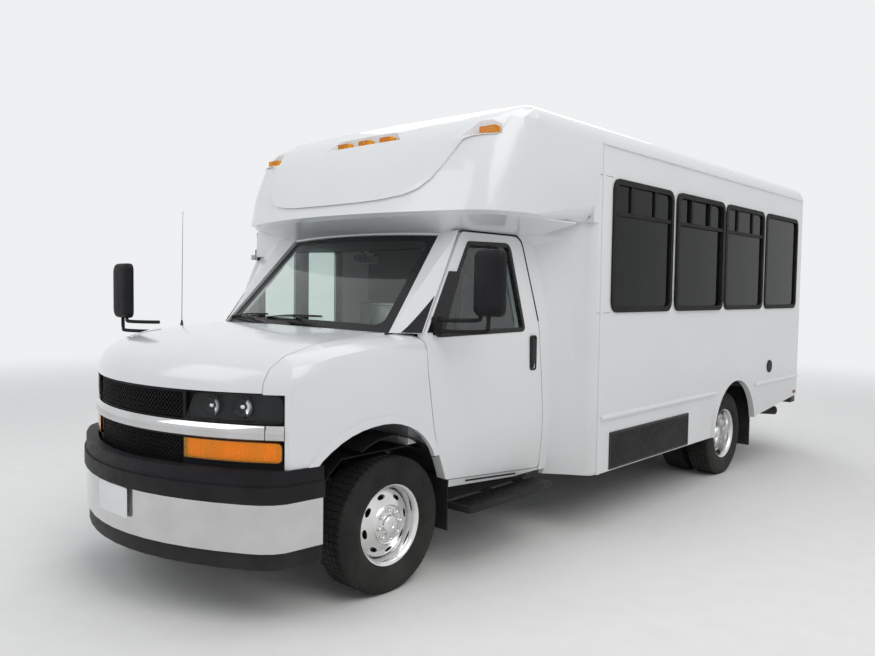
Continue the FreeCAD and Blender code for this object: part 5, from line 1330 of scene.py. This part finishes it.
mirrorForm = {"half": 0.100, "height": 0.370, "centre": 1.250, "tube": 0.0115, "face": -0.0325, "back": 0.0325,
              # how far ahead of the middle and how far inside the outline
              "head": [(-0.0325, 0.010), (-0.028, 0.002), (-0.010, 0.0), (0.008, 0.003), (0.020, 0.009),
                       (0.028, 0.020), (0.0325, 0.040)]}


def mirrorBox(bottom):
    form = mirrorForm
    return form["centre"] - form["half"], form["centre"] + form["half"], bottom, bottom + form["height"]


def mirrorShapes(station, bottom, rootStation, rootY, rootZ):
    form = mirrorForm
    centre = form["centre"]
    head = [[(at(station) + ahead, y, z) for y, z in insetLoop(mirrorBox(bottom), inset, 0.040, 6)]
            for ahead, inset in form["head"]]
    seam = []
    for k in range(11):
        depth = form["back"] - 0.012 * max(0.0, abs(k / 5 - 1) - 0.7) / 0.3
        seam.append((at(station) + depth - 0.0012, centre + 0.012, bottom + 0.012 + (form["height"] - 0.024) * k / 10))
    arms = []
    for z, y in ((rootZ, centre), (rootZ + 0.062, centre - 0.052)):
        end = bottom + 0.03 if bottom + 0.03 >= z + 0.05 else z + 0.10
        path = [(rootStation, rootY, z), ((rootStation + station) / 2, (rootY + y) / 2, z - 0.002),
                (station, y - 0.035, z), (station, y - 0.006, z + 0.010), (station, y, z + 0.040), (station, y, end)]
        arms.append(tubeOf(smoothPath([(at(x), *rest) for x, *rest in path], 5), form["tube"], 12))
    return loft(head), tubeOf(seam, 0.0022, 6), joined(arms)


def mirrorGlass(station, bottom):
    y0, y1, low, top = mirrorBox(bottom)
    face = at(station) + mirrorForm["face"]
    return joined([slabOf(roundedLoop(y0 + 0.014, y1 - 0.014, z0, z1, radius), "yz", face - 0.0004, face + 0.001)
                   for z0, z1, radius in ((low + 0.115, top - 0.014, 0.030), (low + 0.014, low + 0.105, 0.024))])


# side, station and foot of the head, root of the arms, foot on the body
mirrorPlaces = {
    "mirror_left": (1, -0.440, 1.485, (-0.302, 1.005, 1.402), slabOf(
        roundedLoop(at(-0.325), at(-0.280), 1.377, 1.482, 0.012), "xz", sideAt(1.43) - 0.004, 1.016)),
    "mirror_right": (-1, 0.400, 1.410, (0.302, 0.945, 1.328),
                     blockOf(at(0.272), at(0.328), 0.905, 0.958, 1.293, 1.342)),
}
for node, (side, station, bottom, root, base) in mirrorPlaces.items():
    head, seam, arms = mirrorShapes(station, bottom, *root)
    body = bodyOfNode[node]
    makePiece(node + "_shell", sided(joined([head, arms, base]), side), blackPlastic, body=body, replaced=(node,))
    makePiece(node + "_seam", sided(seam, side), smoothBlack, body=body)
    makePiece(node + "_glass", sided(mirrorGlass(station, bottom), side), chrome, body=body)

whipForm = {"station": 0.18, "y": -0.868, "foot": 1.366, "middle": 1.75, "tip": 2.119, "lean": 0.010}


def whip():
    form = whipForm
    x, y, foot, tip = at(form["station"]), form["y"], form["foot"], form["tip"]
    socket = turnedRound([(0, 0.018), (0.006, 0.018), (0.014, 0.010), (0.040, 0.006), (0.046, 0.002)],
                         (x, y, foot - 0.004), 16, "z")
    mast = tubeOf([(x, y, foot + 0.03), (x - 0.004, y, form["middle"]), (x - form["lean"], y, tip)],
                  [0.0022, 0.0018, 0.0012], 8)
    ball = turnedRound([(0, 0.001), (0.002, 0.003), (0.004, 0.003), (0.006, 0.001)],
                       (x - form["lean"], y, tip), 10, "z")
    return joined([socket, mast, ball])


makePiece("antenna_whip", whip(), smoothBlack, angle=45)

print("stage 8: body, rear and inside")

padForm = {"columns": 18, "rows": 14, "power": 6, "below": 0.30, "pull": 0.035, "crown": 0.20,
           "seam": 0.012, "seamWidth": 0.035, "rimPower": 0.35, "rimSteps": 64, "piping": 0.0045}


def pulledPoint(u, v, width, length):
    # the sides between the corners are drawn in a little
    pull = padForm["pull"]
    return u * (1 - pull * (1 - v * v) * u * u) * width / 2, v * (1 - pull * (1 - u * u) * v * v) * length / 2


def padPoint(u, v, top, width, length, thick, channels):
    form = padForm
    crown = math.sqrt(max(0.0, (1 - abs(u) ** form["power"]) * (1 - abs(v) ** form["power"])))
    sewn = max(math.exp(-((v - line) / form["seamWidth"]) ** 2) for line in channels)
    height = thick * crown * (1 - form["crown"] + form["crown"] * (1 - u * u) * (1 - v * v))
    return (*pulledPoint(u, v, width, length),
            height - sewn * form["seam"] * crown if top else -thick * form["below"] * crown)


def padShape(width, length, thick, channels):
    # crowned pad about the origin: width along u, length along v; the channels are sewn across it
    columns, rows = padForm["columns"], padForm["rows"]
    points, faces, index = [], [], {}
    across, along = ([math.sin(math.pi / 2 * (2 * k / count - 1)) for k in range(count + 1)]
                     for count in (columns, rows))
    for top in (True, False):
        for j, v in enumerate(along):
            for i, u in enumerate(across):
                if not top and (i in (0, columns) or j in (0, rows)):
                    index[top, i, j] = index[True, i, j]
                    continue
                index[top, i, j] = len(points)
                points.append(padPoint(u, v, top, width, length, thick, channels))
        for j in range(rows):
            for i in range(columns):
                face = [index[top, i, j], index[top, i + 1, j], index[top, i + 1, j + 1], index[top, i, j + 1]]
                faces.append(face if top else face[::-1])
    return points, faces


def padRim(width, length):
    rim = []
    for k in range(padForm["rimSteps"]):
        t = 2 * math.pi * k / padForm["rimSteps"]
        u, v = (math.copysign(abs(c) ** padForm["rimPower"], c) if abs(c) > 1e-6 else 0.0
                for c in (math.cos(t), math.sin(t)))
        rim.append((u * width / 2 * (1 - padForm["pull"] * (1 - v * v)),
                    v * length / 2 * (1 - padForm["pull"] * (1 - u * u))))
    return rim


def padPiece(name, size, channels, origin, across, along, normal):
    width, length, thick = size
    points, faces = padShape(width, length, thick, channels)
    points = [tuple(origin + across * u + along * v + normal * w) for u, v, w in points]
    piece = makePiece(name, (points, faces), seatCloth, angle=60)
    rim = [origin + across * u + along * v for u, v in padRim(width * 0.985, length * 0.985)]
    return tubeOf(rim + rim[:2], padForm["piping"], 6)


# y is the side nearest to the middle of the vehicle and the one at the wall
benchForm = {"rows": (-2.450, -3.180, -3.910, -4.640), "y": (0.290, 1.130), "top": 1.2153, "backTop": 1.785,
             "depth": 0.430, "floor": 0.7756, "legs": (0.330, 0.520), "cushion": 0.110, "back": 0.085}
driverForm = {"rows": (-1.420,), "y": (0.200, 0.700), "top": 0.990, "backTop": 1.740, "depth": 0.460,
              "floor": 0.639, "legs": (0.260, 0.600), "cushion": 0.120, "back": 0.100}


def addSeat(name, form, station, y0, y1, places):
    side, up, ahead = Vector((0, 1, 0)), Vector((0, 0, 1)), Vector((1, 0, 0))
    top, depth, cushion, width = form["top"], form["depth"], form["cushion"], (y1 - y0) / places
    pipings = []
    for k in range(places):
        middle = y0 + width * (k + 0.5)
        origin = Vector((at(station + depth / 2 + 0.012), middle, top - cushion * 0.78))
        pipings.append(padPiece("%s_cushion_%d" % (name, k + 1), (width - 0.012, depth - 0.01, cushion * 0.76),
                                (-0.35, 0.35), origin, -side, ahead, up))
        low = Vector((at(station + 0.035), middle, top - 0.060))
        high = Vector((at(station - 0.040), middle, form["backTop"] - 0.004))
        along = (high - low).normalized()
        normal = side.cross(along).normalized()
        normal = normal if normal.x > 0 else -normal
        size = (width - 0.014, (high - low).length, form["back"] * 0.62)
        pipings.append(padPiece("%s_back_%d" % (name, k + 1), size, (-0.45, 0.0, 0.45), (low + high) / 2,
                                along.cross(normal), along, normal))
    legs = form["legs"] if y0 > 0 else [-leg - 0.04 for leg in form["legs"]]
    frames = [blockOf(at(station + 0.06), at(station + depth - 0.09), y, y + 0.04, form["floor"], top - cushion * 0.95)
              for y in legs]
    frames.append(blockOf(at(station + 0.02), at(station + depth - 0.02), y0 + 0.02, y1 - 0.02,
                          top - cushion * 1.05, top - cushion * 0.80))
    return pipings, frames


def addSeats():
    near, wall = benchForm["y"]
    seats = [("driver_seat", driverForm, driverForm["rows"][0], *driverForm["y"], 1)]
    for row, station in enumerate(benchForm["rows"]):
        seats.append(("bench_left_%d" % (row + 1), benchForm, station, near, wall, 2))
        seats.append(("bench_right_%d" % (row + 1), benchForm, station, -wall, -near, 2))
    pipings, frames = [], []
    for seat in seats:
        more, frame = addSeat(*seat)
        pipings += more
        frames += frame
    makePiece("seat_pipings", joined(pipings), smoothBlack, angle=60)
    makePiece("seat_frames", joined(frames), frameSteel, replaced=("seats",), edge=0.003)


addSeats()

bodyHalf = 1.219
# dark panes nearly flush with their frames, in front of the sealed units
windowForm = {"first": -2.265, "pitch": 0.965, "count": 4, "half": 0.425, "low": 1.522, "high": 2.368,
              "radius": 0.040, "recess": 0.006, "thick": 0.002}


def flushPanes():
    form = windowForm
    face = bodyHalf - form["recess"]
    middles = [at(form["first"] - k * form["pitch"]) for k in range(form["count"])]
    return joined([slabOf(roundedLoop(x - form["half"], x + form["half"], form["low"], form["high"], form["radius"]),
                          "xz", face - form["thick"], face) for x in middles])


makePiece("window_faces", bothSides(flushPanes()), darkGlass)

fillerForm = {"station": -4.919, "z": 0.927, "radius": 0.060}


def fillerCap():
    x, z, radius = at(fillerForm["station"]), fillerForm["z"], fillerForm["radius"]
    collar = turnedRound([(-0.001, radius), (0.006, radius), (0.0095, radius - 0.004), (0.0095, radius - 0.010),
                          (0.004, radius - 0.013), (0.004, 0.036), (0.009, 0.033), (0.0095, 0.030), (0.0095, 0.002)],
                         (x, bodyHalf, z), 48)
    grip = blockOf(x - 0.026, x + 0.026, bodyHalf + 0.006, bodyHalf + 0.0098, z - 0.005, z + 0.005)
    return joined([collar, grip])


makePiece("filler_cap", fillerCap(), smoothBlack)

jointForm = {"front": -1.634, "window": -1.812, "levels": (1.490, 2.402), "half": 0.0012}
jointLines = [blockOf(at(jointForm["window"]), at(jointForm["front"]), bodyHalf - 0.001, bodyHalf + 0.0006,
                      z - jointForm["half"], z + jointForm["half"]) for z in jointForm["levels"]]
makePiece("body_joint_lines", bothSides(joined(jointLines)), sealRubber)

rivetForm = {"station": -1.617, "low": 0.470, "pitch": 0.088, "count": 24}
rivet = turnedRound([(0, 0.0042), (0.0010, 0.0038), (0.0018, 0.0024), (0.0021, 0.0006)],
                    (at(rivetForm["station"]), bodyHalf + 0.0055, rivetForm["low"]), 10)
repeatAlong("batten_rivets_left", rivet, rivetForm["count"], (0, 0, rivetForm["pitch"]), bodyWhite)

panelForm = {"rear": -3.093, "front": -1.835, "low": 0.408, "high": 0.667, "slats": 15, "bars": (0.414, 0.834)}


def sidePanel():
    x0, x1, low, high = box = at(panelForm["rear"]), at(panelForm["front"]), panelForm["low"], panelForm["high"]
    rim = frameOf(insetLoop(box, 0.001, 0.008), insetLoop(box, 0.016, 0.006), "xz",
                  bodyHalf + 0.003, bodyHalf + 0.0072)
    bars = [blockOf(x0 + bar, x0 + bar + 0.008, bodyHalf + 0.003, bodyHalf + 0.0068, low + 0.01, high - 0.01)
            for bar in panelForm["bars"]]
    makePiece("side_panel_rim", joined([rim] + bars), smoothBlack)
    slat = blockOf(x0 + 0.016, x1 - 0.016, bodyHalf + 0.0035, bodyHalf + 0.0062, low + 0.018, low + 0.0245)
    step = (high - low - 0.04) / (panelForm["slats"] - 1)
    repeatAlong("side_panel_slats", slat, panelForm["slats"], (0, 0, step), blackPlastic)


sidePanel()

sideLampForm = {"station": -5.690, "z": 0.610, "half": 0.032, "height": 0.014}


def sideLamp():
    x, z, half, height = at(sideLampForm["station"]), sideLampForm["z"], sideLampForm["half"], sideLampForm["height"]
    return slabOf(roundedLoop(x - half, x + half, z - height, z + height, 0.010), "xz",
                  bodyHalf - 0.001, bodyHalf + 0.009)


makePiece("side_lamps_rear", bothSides(sideLamp()), redLens, edge=0.003)

# the ring's profile is distance behind the wall and distance inside the radius
tailForm = {"wall": -5.800, "y": 1.090, "levels": (1.010, 1.160, 1.310), "radius": 0.052,
            "ring": [(-0.001, 0), (0.012, 0), (0.016, 0.004), (0.0165, 0.010), (0.0125, 0.013), (0.0175, 0.024),
                     (0.0178, 0.040), (0.0178, 0.051)]}
tailProfile = [(-along, tailForm["radius"] - inset) for along, inset in tailForm["ring"]]
tailRings = [turnedRound(tailProfile, (at(tailForm["wall"]), tailForm["y"], z), 40, "x") for z in tailForm["levels"]]
makePiece("tail_lamp_lenses", bothSides(joined(tailRings)), redLens, replaced=("tail_lamps",))

boardForm = {"front": -0.480, "rear": -1.300, "inner": 0.960, "outer": 1.108, "count": 11, "width": 0.006}
rib = blockOf(at(boardForm["rear"]) + 0.012, at(boardForm["front"]) - 0.012, boardForm["inner"],
              boardForm["inner"] + boardForm["width"], 0.3995, 0.4035)
ribStep = (boardForm["outer"] - boardForm["inner"] - boardForm["width"]) / (boardForm["count"] - 1)
repeatAlong("running_board_ribs", rib, boardForm["count"], (0, ribStep, 0), smoothBlack)


def rearMirror():
    # mirror inside the windscreen, on a short stalk
    glass = slabOf(roundedLoop(-0.125, 0.125, 1.800, 1.862, 0.026), "yz", at(-0.705), at(-0.695))
    box = (-0.130, 0.130, 1.795, 1.867)
    shell = loft([[(at(x), y, z) for y, z in insetLoop(box, inset, 0.028)]
                  for x, inset in ((-0.700, 0.0), (-0.690, 0.001), (-0.678, 0.008), (-0.672, 0.020))])
    stalk = tubeOf([(at(-0.676), 0, 1.845), (at(-0.640), 0, 1.885), (at(-0.612), 0, 1.930)], 0.008, 10)
    return glass, joined([shell, stalk])


mirrorFace, mirrorBack = rearMirror()
makePiece("cab_mirror_shell", mirrorBack, smoothBlack)
makePiece("cab_mirror_glass", mirrorFace, chrome)


# vents: middles, half width, lowest slat, pitch, height; dials: middle and radius
dashForm = {"vents": (-0.62, -0.10, 0.10, 0.70), "half": 0.045, "slats": 5, "low": 1.195, "pitch": 0.012,
            "height": 0.005, "dials": ((0.36, 0.048), (0.50, 0.048), (0.43, 0.024)), "dialZ": 1.225}


def dashDetails():
    form = dashForm
    levels = [form["low"] + form["pitch"] * k for k in range(form["slats"])]
    shapes = [blockOf(at(-0.606), at(-0.596), y - form["half"], y + form["half"], z, z + form["height"])
              for y in form["vents"] for z in levels]
    for y, radius in form["dials"]:
        shapes.append(turnedRound([(0.0, radius), (0.006, radius), (0.006, radius - 0.004), (0.001, radius - 0.006),
                                   (0.001, 0.002)], (at(-0.602), y, form["dialZ"]), 32, "x"))
    return joined(shapes)


makePiece("dashboard_vents", dashDetails(), smoothBlack)

print("stage 9: end")
